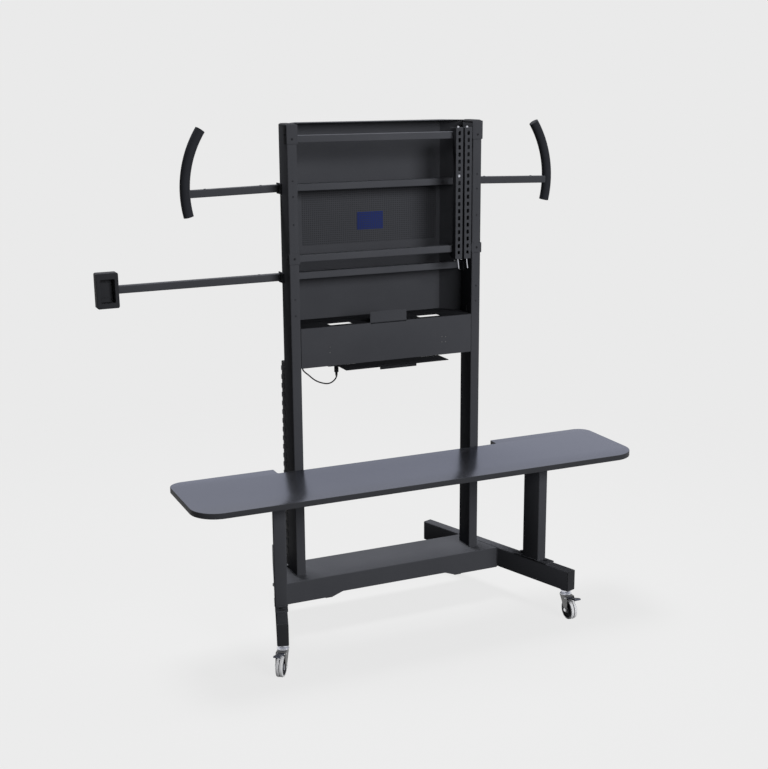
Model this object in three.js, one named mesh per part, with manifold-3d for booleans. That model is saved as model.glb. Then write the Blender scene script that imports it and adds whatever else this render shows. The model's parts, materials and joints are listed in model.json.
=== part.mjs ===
// A mobile stand for a large flat display, in millimetres with +Z up and the front towards -Y.
// While it is built, the floor is z = 0, the columns' front faces are y = 0 and x = 0 is midway between the
// columns. At the end the whole stand moves so that its bounding box has its bottom centre at the origin.
import * as THREE from "three";
import { mergeVertices } from "three/addons/utils/BufferGeometryUtils.js";
import Module from "manifold-3d";

const wasm = await Module();
wasm.setup();

// Fits
const seatGap = 0.3; // between two pieces that touch
const runGap = 0.5; // between a moving piece and what it runs along
const overrun = 5; // how far a cut runs past what it cuts
const weld = 1e-4; // vertices closer than this are one

// Columns: two upright tubes with domed caps
const columnSpacing = 750; // over the outer faces
const columnWidth = 36;
const columnDepth = 84.5;
const columnTop = 1808;
const columnWall = 2.5;
const columnCorner = 4;
const columnCapHeight = 11;
const columnCapRound = 9;
const columnCapPlug = 18;
const columnCapPlugWall = 2;
const columnHoleRadius = 3;
const columnHoleDrops = [651, 594, 332, 236, 183]; // below the column's top

// Legs: two splayed floor tubes, wider apart at the front
const legWidth = 40;
const legHeight = 78;
const legTop = 185;
const legWall = 2.5;
const legOffset = 443.2; // from the middle of the stand to the leg's centreline at y = 0
const legSplay = THREE.MathUtils.degToRad(18.16);
const legFrontReach = 400;
const legRearReach = 366.5;
const legCapFlange = 3;
const legCapPlug = 16;
const legCapPlugWall = 2;
const legCapCorner = 2;

// Cross beam: a folded channel, open below, between the legs
const beamFront = -47;
const beamBack = 146;
const beamBottom = 103;
const beamWall = 3;
const beamArchTop = 117;
const beamArchHalf = 212;
const beamArchRun = 39;
const beamEndWall = 4;
const beamFootHalf = 14;
const beamFootOffset = 267;
const beamFootDepth = 26;
const beamFootDrop = 2.5;

// Posts: they carry the shelf on the legs
const postWidth = 42;
const postLength = 78;
const postWall = 2.5;
const postReach = 215.5; // along the leg, in front of y = 0
const postPlateLength = 163;
const postPlateThick = 4;

// Shelf board
const shelfTop = 597;
const shelfThick = 20;
const shelfLeft = 837; // from the middle of the stand to each end
const shelfRight = 872;
const shelfFront = -350;
const shelfWingBack = 32;
const shelfRecess = -18;
const shelfNotchHalf = 444.5;
const shelfFrontCorner = 95;
const shelfBackCorner = 52;
const shelfNotchCorner = 8;
const shelfBevel = 1.5;

// Rails: two square tubes flush with the column fronts and two behind the columns
const railSize = 25;
const railWall = 2.1;
const topRailDrop = 29; // below the columns' tops, as for the other rails
const lowRailDrop = 438;
const upperRearRailDrop = 200;
const lowerRearRailDrop = 512;
const topRailTop = columnTop - topRailDrop;
const lowRailTop = columnTop - lowRailDrop;
const upperRearRailTop = columnTop - upperRearRailDrop;
const lowerRearRailTop = columnTop - lowerRearRailDrop;
const railPlateThick = 3;
const railPlateInset = 2.5; // how far a plate laps onto its rail
const railPlateReturn = 30; // how far it wraps back along the column's outer face
const topPlateRise = 36.5;
const topPlateDrop = 4;
const lowPlateRise = 5;
const lowPlateDrop = 7;
const clampHeight = 38;
const clampThick = 3;
const clampReach = 26; // how far a clamp plate runs forward along the column

// Rear pan: folded sheet behind the columns with a closed top, and a window for the perforated insert
const panBack = 160;
const panHalf = 285;
const panRise = 9.5; // above the columns' tops
const panSheet = 1.5;
const panFlange = 26;
const panWindowHalf = 268;
const panWindowDrop = 233; // below the columns' tops
const panWindowHeight = 196;
const panTop = columnTop + panRise;
const panWindowTop = columnTop - panWindowDrop;
const panWindowBottom = panWindowTop - panWindowHeight;
const insertLap = 9;
const insertThick = 1.2;

// Front panel and tray: one bent sheet
const trayDrop = 698; // below the columns' tops
const panelHeight = 145;
const panelSheet = 2;
const tabHalf = 72;
const tabRise = 39; // above the tray, as for the ears
const traySlotNear = 134;
const traySlotFar = 220;
const traySlotFront = 15;
const traySlotBack = 57;
const traySlotCorner = 6;
const panelReturn = 70;
const earFront = 34;
const earBack = 58;
const earRise = 27;
const trayLip = 12; // folded down along the tray's rear edge
const trayTop = columnTop - trayDrop;
const panelBottom = trayTop - panelHeight;
const tabTop = trayTop + tabRise;
const earTop = trayTop + earRise;

// Ledge: a shallow shelf in front of the panel's lower edge
const ledgeHalf = 203;
const ledgeReach = 85;
const ledgeSheet = 2;
const ledgeLipHalf = 72;
const ledgeLipDrop = 11;
const ledgeUpstandHalf = 130;
const ledgeUpstandHeight = 28;

// Display brackets: slotted channels hooked over the two front rails
const bracketWidth = 28.5;
const bracketGap = 7.3;
const bracketRight = 321.9; // the right bracket's outer face
const bracketDepth = 25;
const bracketWall = 2;
const bracketRise = 14; // above the top rail
const bracketDrop = 48; // below the low rail's top
const slotWidth = 8;
const slotHeight = 13;
const slotPitch = 25.3;
const slotMargin = 19; // from the bracket's ends to the centres of the end slots, at least
const bracketTop = topRailTop + bracketRise;
const bracketBottom = lowRailTop - bracketDrop;
const slotFirst = bracketTop - slotMargin;
const slotCount = 1 + Math.floor((slotFirst - bracketBottom - slotMargin) / slotPitch);
const hookLip = 4;
const hookDrop = 16; // how far the hook's lip hangs below the rail's top
const latchThick = 9;
const latchReach = 19;
const latchTaper = 8;
const bridgeThick = 3;
const bridgeDrop = 8;
const bridgeDepth = 20;
const lockScrewRadius = 2.5;
const lockScrewHeadRadius = 4;
const lockScrewHeadHeight = 4.5;
const lockScrewRise = 1;
const lockScrewTail = 5;
const rodRadius = 2.5;
const rodLength = 54;
const rodLean = THREE.MathUtils.degToRad(14);
const rodBossRise = 3; // above the bracket's lower end
const rodInset = 7;
const rodKnobRadius = 3.2;
const rodKnobHeight = 5;
const rodBossHeight = 14;
const rodHeight = bracketBottom + rodBossRise; // where the rod leaves its boss

// Handles: a curved grip on an arm that slides in the upper rear rail
const armSize = 26;
const armCoreWall = 2;
const armInsertLength = 170;
const armSolidEnd = 14;
const armStandOff = 1.2; // from the rail's end to the arm's sleeve
const handleReach = 335; // from the column's outer face to the grip's centreline
const handleDroop = THREE.MathUtils.degToRad(1.4);
const gripRadius = 17.7;
const gripBow = 373;
const gripAbove = THREE.MathUtils.degToRad(34.8);
const gripBelow = THREE.MathUtils.degToRad(12);

// Control arm and its open-fronted box
const controlReach = 580.5; // from the column's outer face to the box
const controlDroop = THREE.MathUtils.degToRad(0.33);
const controlInsertLength = 320;
const controlBoxWidth = 75;
const controlBoxHeight = 120;
const controlBoxDepth = 40;
const controlBoxCorner = 6;
const controlPocketWidth = 49;
const controlPocketHeight = 80;
const controlPocketDepth = 30;
const controlPocketDrop = 1.5; // pocket centre below the box centre
const controlPocketCorner = 3;

// Casters: a fixed head, a swivelling fork, a wheel on a bolt and a brake pedal
const wheelRadius = 37;
const wheelWidth = 24;
const wheelCrown = 2;
const wheelRimRadius = 31;
const wheelRimRecess = 3;
const wheelHubRadius = 11;
const wheelHubLength = 26;
const casterInset = 25; // from the leg's end to the kingpin
const casterTrail = 28;
const casterYaws = { front_left: -34, front_right: 0, rear_left: -20, rear_right: 12 };
const axleRadius = 4;
const axleHeadRadius = 7;
const axleHeadHeight = 4;
const forkSheet = 2.5;
const forkGap = 2.2; // between the wheel's hub and the fork's side plates
const forkTop = 90;
const forkCrownThick = 3;
const forkCrownFront = 17;
const forkCrownBack = 31;
const forkEndRadius = 10;
const forkWaistShare = 0.45;
const racewayRadius = 21.5;
const racewayHeight = 9;
const racewayRimHeight = 4;
const headPlateThick = 3;
const headRadius = 20.5;
const headNeckRadius = 15;
const kingpinRadius = 5;
const kingpinHeadRadius = 8;
const kingpinHeadHeight = 3;
const stemRadius = 6;
const stemRise = 16;
const stemNutRadius = 10;
const stemNutHeight = 8;
const pedalWidth = 22;
const pedalThick = 4;
const pedalPinRadius = 2.5;
const pedalPinSetback = 24; // behind the kingpin
const pedalPinHeight = 81;
const pedalLevel = 10; // how far it runs level behind its pin
const pedalLength = 60;
const pedalTipHeight = 91;
const pedalTipThick = 6;
const pedalTipLength = 8;
const pedalTipWidth = 26;

// Cable chain down the left column
const chainWidth = 34;
const chainDepth = 31;
const chainRise = 11.5; // above the front panel's lower edge
const chainPitch = 29;
const chainWaist = 3;
const chainWaistRun = 4;
const chainSideWaist = 2.5;
const chainTop = panelBottom + chainRise;

// Power outlet, plug, lead and gland behind the front panel's lower edge
const outletLeft = -236;
const outletRight = -166;
const outletDepth = 42;
const outletHeight = 76;
const outletDrop = 3; // below the panel's lower edge
const outletBottom = panelBottom - outletDrop;
const plugX = -199;
const plugY = 19;
const plugRadius = 8;
const plugLength = 27;
const plugNeckRadius = 6.5;
const plugNeckLength = 7;
const plugTailRadius = 4.2;
const plugTailLength = 8;
const leadRadius = 2.1;
const leadSeat = 7; // how far the lead runs into the plug and the gland
const leadRoundSteps = 4;
const leadSteps = 28;
const glandWidth = 12;
const glandDepth = 26;
const glandHeight = 22;
const glandX = -329;

// Facets
const wheelSides = 20;
const roundSides = 16;
const smallSides = 12;
const fineSides = 8;
const cornerSteps = 2; // half of an arc's segments, as for the other steps round an arc
const shelfCornerSteps = 7;
const gripRoundSteps = 8;
const gripSteps = 14;

// Finishes
const finish = (color, roughness, metalness) =>
  new THREE.MeshStandardMaterial({ color, roughness, metalness });
const blackSteel = finish(0x1d1e21, 0.55, 0.25);
const blackPlastic = finish(0x18181b, 0.6, 0);
const boardLaminate = finish(0x4b4c52, 0.5, 0);
const zincSteel = finish(0xa7a8aa, 0.35, 0.9);
const chromeSteel = finish(0xd0d2d6, 0.15, 1);
const wheelRubber = finish(0xcfcfd2, 0.6, 0);
const gripFoam = finish(0x141416, 0.7, 0);

// Working with solids

// The closed mesh of a geometry as a solid, with its shared vertices merged.
function solidOf(geometry) {
  const bare = geometry.clone();
  bare.deleteAttribute("normal");
  bare.deleteAttribute("uv");
  const merged = mergeVertices(bare, weld);
  return new wasm.Manifold(
    new wasm.Mesh({
      numProp: 3,
      vertProperties: new Float32Array(merged.attributes.position.array),
      triVerts: new Uint32Array(merged.index.array),
    }),
  );
}

function geometryOf(solid) {
  const { vertProperties, triVerts } = solid.getMesh();
  return new THREE.BufferGeometry()
    .setAttribute("position", new THREE.BufferAttribute(vertProperties, 3))
    .setIndex(new THREE.BufferAttribute(triVerts, 1));
}

function join(...pieces) {
  return geometryOf(pieces.map(solidOf).reduce((sum, piece) => sum.add(piece)));
}

function cut(body, ...tools) {
  return geometryOf(tools.map(solidOf).reduce((left, tool) => left.subtract(tool), solidOf(body)));
}

function overlap(a, b) {
  return geometryOf(solidOf(a).intersect(solidOf(b)));
}

function block([x0, x1], [y0, y1], [z0, z1]) {
  const box = new THREE.BoxGeometry(x1 - x0, y1 - y0, z1 - z0);
  return box.translate((x0 + x1) / 2, (y0 + y1) / 2, (z0 + z1) / 2);
}

// A span of the given size about a middle.
const about = (middle, size) => [middle - size / 2, middle + size / 2];

const outline = (points) => new THREE.Shape(points.map(([x, y]) => new THREE.Vector2(x, y)));

function roundedOutline([x0, x1], [y0, y1], radius) {
  const shape = new THREE.Shape();
  shape.absarc(x1 - radius, y0 + radius, radius, -Math.PI / 2, 0);
  shape.absarc(x1 - radius, y1 - radius, radius, 0, Math.PI / 2);
  shape.absarc(x0 + radius, y1 - radius, radius, Math.PI / 2, Math.PI);
  shape.absarc(x0 + radius, y0 + radius, radius, Math.PI, (Math.PI * 3) / 2);
  return shape;
}

function extrude(shape, depth, steps = cornerSteps) {
  return new THREE.ExtrudeGeometry(shape, { depth, bevelEnabled: false, curveSegments: steps });
}

// A plan outline raised between two heights.
const prismZ = (shape, [z0, z1], steps) => extrude(shape, z1 - z0, steps).translate(0, 0, z0);

// A front outline (x, z) carried from y0 back to y1.
const prismY = (shape, [y0, y1], steps) =>
  extrude(shape, y1 - y0, steps)
    .rotateX(Math.PI / 2)
    .translate(0, y1, 0);

// A side outline (y, z) carried from x0 to x1.
const prismX = (shape, [x0, x1], steps) =>
  extrude(shape, x1 - x0, steps)
    .rotateX(Math.PI / 2)
    .rotateZ(Math.PI / 2)
    .translate(x0, 0, 0);

// A profile of [radius, height] points, counterclockwise, turned about the Z axis.
const turned = (profile, sides) =>
  new THREE.LatheGeometry(
    profile.map(([radius, height]) => new THREE.Vector2(radius, height)),
    sides,
  ).rotateX(Math.PI / 2);

const rod = (radius, [z0, z1], sides = smallSides) =>
  new THREE.CylinderGeometry(radius, radius, z1 - z0, sides)
    .rotateX(Math.PI / 2)
    .translate(0, 0, (z0 + z1) / 2);

const rodAlongX = (radius, [x0, x1], sides = smallSides) =>
  new THREE.CylinderGeometry(radius, radius, x1 - x0, sides)
    .rotateZ(Math.PI / 2)
    .translate((x0 + x1) / 2, 0, 0);

const rodAlongY = (radius, [y0, y1], sides = smallSides) =>
  new THREE.CylinderGeometry(radius, radius, y1 - y0, sides).translate(0, (y0 + y1) / 2, 0);

// The closed outline of a sheet that follows a folded line, with its thickness on the line's left.
function foldedSheet(line, thickness) {
  const points = line.map(([x, y]) => new THREE.Vector2(x, y));
  const normals = points.slice(1).map((point, i) => {
    const along = point.clone().sub(points[i]).normalize();
    return new THREE.Vector2(-along.y, along.x);
  });
  const far = points.map((point, i) => {
    const before = normals[Math.max(i - 1, 0)];
    const after = normals[Math.min(i, normals.length - 1)];
    const mitre = before.clone().add(after).normalize();
    return point.clone().addScaledVector(mitre, thickness / mitre.dot(after));
  });
  return new THREE.Shape([...points, ...far.reverse()]);
}

function addMesh(parent, name, geometry, material) {
  const faceted = geometry.index ? geometry.toNonIndexed() : geometry;
  faceted.computeVertexNormals();
  const mesh = new THREE.Mesh(faceted, material);
  mesh.name = name;
  parent.add(mesh);
  return mesh;
}

function addGroup(parent, x = 0, y = 0, z = 0) {
  const group = new THREE.Group();
  group.position.set(x, y, z);
  parent.add(group);
  return group;
}

const stand = new THREE.Group();
const frame = addGroup(stand);
const sides = { left: -1, right: 1 };

// Columns

const columnOuter = columnSpacing / 2;
const columnInner = columnOuter - columnWidth;
const columnMiddle = columnOuter - columnWidth / 2;
const legBottom = legTop - legHeight;

function makeColumn() {
  const outer = roundedOutline(about(0, columnWidth), [0, columnDepth], columnCorner);
  const bore = roundedOutline(
    about(0, columnWidth - 2 * columnWall),
    [columnWall, columnDepth - columnWall],
    columnCorner - columnWall,
  );
  const holes = columnHoleDrops.map((drop) =>
    rodAlongY(columnHoleRadius, [-overrun, columnWall + overrun], fineSides).translate(
      0,
      0,
      columnTop - drop,
    ),
  );
  const from = legTop + seatGap;
  return cut(
    prismZ(outer, [from, columnTop]),
    prismZ(bore, [from - overrun, columnTop + overrun]),
    ...holes,
  );
}

// The outline of a cap along one direction, rounded at both upper corners.
function capOutline([from, to]) {
  const shape = new THREE.Shape();
  const height = columnTop + columnCapHeight - columnCapRound;
  shape.moveTo(from, columnTop + seatGap);
  shape.lineTo(to, columnTop + seatGap);
  shape.absarc(to - columnCapRound, height, columnCapRound, 0, Math.PI / 2);
  shape.absarc(from + columnCapRound, height, columnCapRound, Math.PI / 2, Math.PI);
  return shape;
}

// A domed plastic cap with a hollow plug that fits the column's bore.
function makeColumnCap() {
  const plan = roundedOutline(about(0, columnWidth), [0, columnDepth], columnCorner);
  const body = prismZ(plan, [columnTop, columnTop + columnCapHeight + overrun]);
  const dome = prismY(capOutline(about(0, columnWidth)), [-overrun, columnDepth + overrun]);
  const ends = prismX(capOutline([0, columnDepth]), about(0, columnWidth + overrun));
  const plugHalf = columnWidth / 2 - columnWall - seatGap;
  const plugFront = columnWall + seatGap;
  const plugPlan = roundedOutline(
    [-plugHalf, plugHalf],
    [plugFront, columnDepth - plugFront],
    columnCorner - columnWall,
  );
  const plug = prismZ(plugPlan, [columnTop - columnCapPlug, columnTop + seatGap + columnCapPlugWall]);
  const plugBore = block(
    [columnCapPlugWall - plugHalf, plugHalf - columnCapPlugWall],
    [plugFront + columnCapPlugWall, columnDepth - plugFront - columnCapPlugWall],
    [columnTop - columnCapPlug - overrun, columnTop],
  );
  return cut(join(overlap(overlap(body, dome), ends), plug), plugBore);
}

for (const [name, side] of Object.entries(sides)) {
  const column = addGroup(frame, side * columnMiddle);
  addMesh(column, `${name}_column`, makeColumn(), blackSteel);
  addMesh(column, `${name}_column_cap`, makeColumnCap(), blackPlastic);
}

// Cross beam

// Everything beyond the leg's inner face, moved inwards by a margin.
function beyondLeg(side, margin) {
  const reach = legOffset + overrun;
  const inner = legWidth / 2 + margin;
  const span = side > 0 ? [-inner, reach] : [-reach, inner];
  return block(span, [-legFrontReach, legFrontReach], [0, legTop + overrun])
    .rotateZ(side * legSplay)
    .translate(side * legOffset, 0, 0);
}

function makeBeam() {
  const reach = legOffset;
  const wide = [-reach, reach];
  const body = block(wide, [beamFront, beamBack], [beamBottom, legTop]);
  const hollow = cut(
    block(
      wide,
      [beamFront + beamWall, beamBack - beamWall],
      [beamBottom - overrun, legTop - beamWall],
    ),
    beyondLeg(1, seatGap + beamEndWall),
    beyondLeg(-1, seatGap + beamEndWall),
  );
  const archFoot = beamArchHalf + beamArchRun;
  const arch = prismY(
    outline([
      [-archFoot - overrun, beamBottom - overrun],
      [archFoot + overrun, beamBottom - overrun],
      [archFoot, beamBottom],
      [beamArchHalf, beamArchTop],
      [-beamArchHalf, beamArchTop],
      [-archFoot, beamBottom],
    ]),
    [beamFront - overrun, beamBack + overrun],
  );
  const feet = [-1, 1].map((side) =>
    block(
      about(side * beamFootOffset, 2 * beamFootHalf),
      [beamFront, beamFront + beamFootDepth],
      [beamBottom - beamFootDrop, beamBottom + beamWall],
    ),
  );
  return join(
    cut(body, hollow, arch, beyondLeg(1, seatGap), beyondLeg(-1, seatGap)),
    ...feet,
  );
}

addMesh(frame, "base_beam", makeBeam(), blackSteel);

// Legs, their end caps and the posts

function makeLeg() {
  const tube = [legCapFlange - legFrontReach, legRearReach - legCapFlange];
  const bore = block(
    about(0, legWidth - 2 * legWall),
    [-legFrontReach - overrun, legRearReach + overrun],
    [legBottom + legWall, legTop - legWall],
  );
  const stemHoles = [casterInset - legFrontReach, legRearReach - casterInset].map((y) =>
    rod(stemRadius + seatGap, [legBottom - overrun, legBottom + legWall + overrun]).translate(0, y, 0),
  );
  return cut(block(about(0, legWidth), tube, [legBottom, legTop]), bore, ...stemHoles);
}

// The cap of a leg's end; its flange faces +Y and its plug runs into the tube.
function makeLegCap() {
  const flange = prismY(
    roundedOutline(about(0, legWidth), [legBottom, legTop], legCapCorner),
    [seatGap - legCapFlange, 0],
  );
  const plugHalf = legWidth / 2 - legWall - seatGap;
  const plugBottom = legBottom + legWall + seatGap;
  const plugTop = legTop - legWall - seatGap;
  const plug = block(
    [-plugHalf, plugHalf],
    [-legCapFlange - legCapPlug, -legCapFlange / 2],
    [plugBottom, plugTop],
  );
  const plugBore = block(
    [legCapPlugWall - plugHalf, plugHalf - legCapPlugWall],
    [-legCapFlange - legCapPlug - overrun, -legCapFlange],
    [plugBottom + legCapPlugWall, plugTop - legCapPlugWall],
  );
  const stemRoom = rod(
    stemNutRadius + runGap,
    [legBottom, legBottom + stemRise + overrun],
    roundSides,
  );
  return cut(join(flange, plug), plugBore, stemRoom.translate(0, -casterInset, 0));
}

function makePost() {
  const shelfBottom = shelfTop - shelfThick;
  const from = legTop + seatGap;
  const to = shelfBottom - seatGap;
  const along = about(-postReach, postPlateLength);
  const tube = block(about(0, postWidth), about(-postReach, postLength), [from, to]);
  const bore = block(
    about(0, postWidth - 2 * postWall),
    about(-postReach, postLength - 2 * postWall),
    [from - overrun, to + overrun],
  );
  return cut(
    join(
      tube,
      block(about(0, postWidth), along, [from, from + postPlateThick]),
      block(about(0, postWidth), along, [to - postPlateThick, to]),
    ),
    bore,
  );
}

// Casters, built about the kingpin with the wheel trailing towards -Y

const forkHalf = wheelHubLength / 2 + forkGap + forkSheet;

function makeWheel() {
  const half = wheelWidth / 2;
  const hub = wheelHubLength / 2;
  const bore = axleRadius + runGap;
  const shoulder = wheelRadius - wheelCrown;
  const profile = [
    [bore, -hub],
    [wheelHubRadius, -hub],
    [wheelHubRadius, wheelRimRecess - half],
    [wheelRimRadius, wheelRimRecess - half],
    [wheelRimRadius, -half],
    [shoulder, -half],
    [wheelRadius, wheelCrown - half],
    [wheelRadius, half - wheelCrown],
    [shoulder, half],
    [wheelRimRadius, half],
    [wheelRimRadius, half - wheelRimRecess],
    [wheelHubRadius, half - wheelRimRecess],
    [wheelHubRadius, hub],
    [bore, hub],
    [bore, -hub],
  ];
  return turned(profile, wheelSides).rotateY(Math.PI / 2);
}

// A bolt through the wheel with a head outside each side plate.
function makeAxle() {
  const reach = forkHalf + seatGap;
  const heads = [
    [-reach - axleHeadHeight, -reach],
    [reach, reach + axleHeadHeight],
  ];
  return join(
    rodAlongX(axleRadius, [-reach - seatGap, reach + seatGap]),
    ...heads.map((span) => rodAlongX(axleHeadRadius, span, 6)),
  );
}

function makeFork() {
  const side = new THREE.Shape();
  side.moveTo(forkCrownFront, forkTop);
  side.lineTo(-forkCrownBack, forkTop);
  side.lineTo(-casterTrail - forkEndRadius, wheelRadius + (forkTop - wheelRadius) * forkWaistShare);
  side.absarc(-casterTrail, wheelRadius, forkEndRadius, Math.PI, 2 * Math.PI);
  side.lineTo(0, forkTop - (forkTop - wheelRadius) * forkWaistShare);
  const body = prismX(side, [-forkHalf, forkHalf]);
  const inside = forkHalf - forkSheet;
  const between = block(
    [-inside, inside],
    [-casterTrail - wheelRadius - overrun, forkCrownFront + overrun],
    [-overrun, forkTop - forkCrownThick],
  );
  const raceway = turned(
    [
      [0, forkTop - forkCrownThick],
      [racewayRadius, forkTop - forkCrownThick],
      [racewayRadius, forkTop + racewayRimHeight - forkCrownThick],
      [headNeckRadius, forkTop + racewayHeight - forkCrownThick],
      [0, forkTop + racewayHeight - forkCrownThick],
    ],
    roundSides,
  );
  const axleHole = rodAlongX(axleRadius + seatGap, [-forkHalf - overrun, forkHalf + overrun]);
  const pinHole = rodAlongX(pedalPinRadius + seatGap, [-forkHalf - overrun, forkHalf + overrun]);
  return cut(
    join(cut(body, between), raceway),
    rod(kingpinRadius + runGap, [forkTop - overrun, forkTop + racewayHeight + overrun]),
    axleHole.translate(0, -casterTrail, wheelRadius),
    pinHole.translate(0, -pedalPinSetback, pedalPinHeight),
  );
}

// The head: a threaded stem with its nut inside the leg, a plate, a neck and a kingpin through the fork.
function makeCasterHead() {
  const plateTop = legBottom - seatGap;
  const forkFace = forkTop + racewayHeight - forkCrownThick + runGap;
  const pinFoot = forkTop - forkCrownThick - runGap;
  const nutFoot = legBottom + legWall + seatGap;
  return turned(
    [
      [0, pinFoot - kingpinHeadHeight],
      [kingpinHeadRadius, pinFoot - kingpinHeadHeight],
      [kingpinHeadRadius, pinFoot],
      [kingpinRadius, pinFoot],
      [kingpinRadius, forkFace],
      [headNeckRadius, forkFace],
      [headRadius, plateTop - headPlateThick],
      [headRadius, plateTop],
      [stemRadius, plateTop],
      [stemRadius, nutFoot],
      [stemNutRadius, nutFoot],
      [stemNutRadius, nutFoot + stemNutHeight],
      [stemRadius, nutFoot + stemNutHeight],
      [stemRadius, legBottom + stemRise],
      [0, legBottom + stemRise],
    ],
    roundSides,
  );
}

// The brake pedal, hinged between the fork's side plates and rising over the wheel to a broad tip.
function makePedal() {
  const root = -pedalPinSetback;
  const tip = root - pedalLength;
  const under = pedalPinHeight - pedalPinRadius;
  const over = pedalPinHeight + pedalPinRadius;
  const tipHeight = [pedalTipHeight, pedalTipHeight + pedalTipThick];
  const plate = prismX(
    outline([
      [root + pedalThick, under],
      [root + pedalThick, over],
      [root - pedalLevel, over],
      [tip + pedalTipLength, tipHeight[1]],
      [tip, tipHeight[1]],
      [tip, tipHeight[0]],
      [tip + pedalTipLength, tipHeight[0]],
      [root - pedalLevel, over - pedalThick],
      [root, under],
    ]),
    about(0, pedalWidth),
  );
  const bar = block(about(0, pedalTipWidth), [tip, tip + pedalTipLength], tipHeight);
  const pin = rodAlongX(pedalPinRadius, [-forkHalf, forkHalf]);
  return join(plate, bar, pin.translate(0, root, pedalPinHeight));
}

function addCaster(parent, place, yaw) {
  const name = `${place}_caster`;
  addMesh(parent, `${name}_head`, makeCasterHead(), zincSteel);
  const swivel = addGroup(parent);
  swivel.rotation.z = yaw;
  addMesh(swivel, `${name}_fork`, makeFork(), zincSteel);
  const hub = addGroup(swivel, 0, -casterTrail, wheelRadius);
  addMesh(hub, `${name}_axle`, makeAxle(), chromeSteel);
  addMesh(hub, `${name}_wheel`, makeWheel(), wheelRubber);
  addMesh(swivel, `${name}_pedal`, makePedal(), blackPlastic);
}

for (const [name, side] of Object.entries(sides)) {
  const leg = addGroup(frame, side * legOffset);
  leg.rotation.z = side * legSplay;
  addMesh(leg, `${name}_leg`, makeLeg(), blackSteel);
  addMesh(leg, `${name}_post`, makePost(), blackSteel);
  const rearEnd = addGroup(leg, 0, legRearReach);
  const frontEnd = addGroup(leg, 0, -legFrontReach);
  frontEnd.rotation.z = Math.PI;
  addMesh(rearEnd, `rear_${name}_leg_cap`, makeLegCap(), blackPlastic);
  addMesh(frontEnd, `front_${name}_leg_cap`, makeLegCap(), blackPlastic);
  const kingpins = { front: casterInset - legFrontReach, rear: legRearReach - casterInset };
  for (const [end, y] of Object.entries(kingpins)) {
    const place = `${end}_${name}`;
    const yaw = THREE.MathUtils.degToRad(casterYaws[place]);
    addCaster(addGroup(leg, 0, y), place, yaw - leg.rotation.z);
  }
}

// Shelf

function makeShelf() {
  const left = shelfBevel - shelfLeft;
  const right = shelfRight - shelfBevel;
  const front = shelfFront + shelfBevel;
  const back = shelfWingBack - shelfBevel;
  const recess = shelfRecess - shelfBevel;
  const notch = shelfNotchHalf + shelfBevel;
  const frontCorner = shelfFrontCorner - shelfBevel;
  const backCorner = shelfBackCorner - shelfBevel;
  const quarter = Math.PI / 2;
  const shape = new THREE.Shape();
  shape.absarc(right - frontCorner, front + frontCorner, frontCorner, -quarter, 0);
  shape.absarc(right - backCorner, back - backCorner, backCorner, 0, quarter);
  shape.lineTo(notch, back);
  shape.absarc(
    notch - shelfNotchCorner,
    recess + shelfNotchCorner,
    shelfNotchCorner,
    0,
    -quarter,
    true,
  );
  shape.absarc(
    shelfNotchCorner - notch,
    recess + shelfNotchCorner,
    shelfNotchCorner,
    -quarter,
    -2 * quarter,
    true,
  );
  shape.lineTo(-notch, back);
  shape.absarc(left + backCorner, back - backCorner, backCorner, quarter, 2 * quarter);
  shape.absarc(left + frontCorner, front + frontCorner, frontCorner, 2 * quarter, 3 * quarter);
  const board = new THREE.ExtrudeGeometry(shape, {
    depth: shelfThick - 2 * shelfBevel,
    bevelThickness: shelfBevel,
    bevelSize: shelfBevel,
    bevelSegments: 1,
    curveSegments: shelfCornerSteps,
  });
  return board.translate(0, 0, shelfTop - shelfThick + shelfBevel);
}

addMesh(frame, "shelf", makeShelf(), boardLaminate);

// Rails

// A rail between the columns, with end plates over their front and outer faces.
function makeFrontRail(top, plateBottom, plateTop) {
  const half = columnInner - seatGap;
  const tubeFront = -seatGap;
  const tube = block([-half, half], [tubeFront, tubeFront + railSize], [top - railSize, top]);
  const bore = block(
    [-half - overrun, half + overrun],
    [tubeFront + railWall, tubeFront + railSize - railWall],
    [top - railSize + railWall, top - railWall],
  );
  const height = [plateBottom, plateTop];
  const outer = columnOuter + seatGap;
  const plates = [-1, 1].map((side) => {
    const near = columnInner - railPlateInset;
    const span = [side * near, side * (outer + railPlateThick)].sort((a, b) => a - b);
    const wrap = [side * outer, side * (outer + railPlateThick)].sort((a, b) => a - b);
    return join(
      block(span, [tubeFront - railPlateThick, tubeFront], height),
      block(wrap, [tubeFront - railPlateThick, railPlateReturn], height),
    );
  });
  return join(cut(tube, bore), ...plates);
}

// An open-ended rail behind the columns, with a clamp plate on each side of each column.
function makeRearRail(top) {
  const front = columnDepth + seatGap;
  const outer = columnOuter + seatGap + clampThick;
  const middle = top - railSize / 2;
  const tube = block([-outer, outer], [front, front + railSize], [top - railSize, top]);
  const bore = block(
    [-outer - overrun, outer + overrun],
    [front + railWall, front + railSize - railWall],
    [top - railSize + railWall, top - railWall],
  );
  const plates = [-1, 1].flatMap((side) =>
    [columnInner - seatGap - clampThick, columnOuter + seatGap].map((near) => {
      const span = [side * near, side * (near + clampThick)].sort((a, b) => a - b);
      return block(span, [columnDepth - clampReach, front + railSize], about(middle, clampHeight));
    }),
  );
  return cut(join(tube, ...plates), bore);
}

const topRail = makeFrontRail(
  topRailTop,
  topRailTop - railSize - topPlateDrop,
  topRailTop + topPlateRise,
);
const lowRail = makeFrontRail(
  lowRailTop,
  lowRailTop - railSize - lowPlateDrop,
  lowRailTop + lowPlateRise,
);
addMesh(frame, "top_rail", topRail, blackSteel);
addMesh(frame, "low_rail", lowRail, blackSteel);
addMesh(frame, "upper_rear_rail", makeRearRail(upperRearRailTop), blackSteel);
addMesh(frame, "lower_rear_rail", makeRearRail(lowerRearRailTop), blackSteel);

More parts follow.
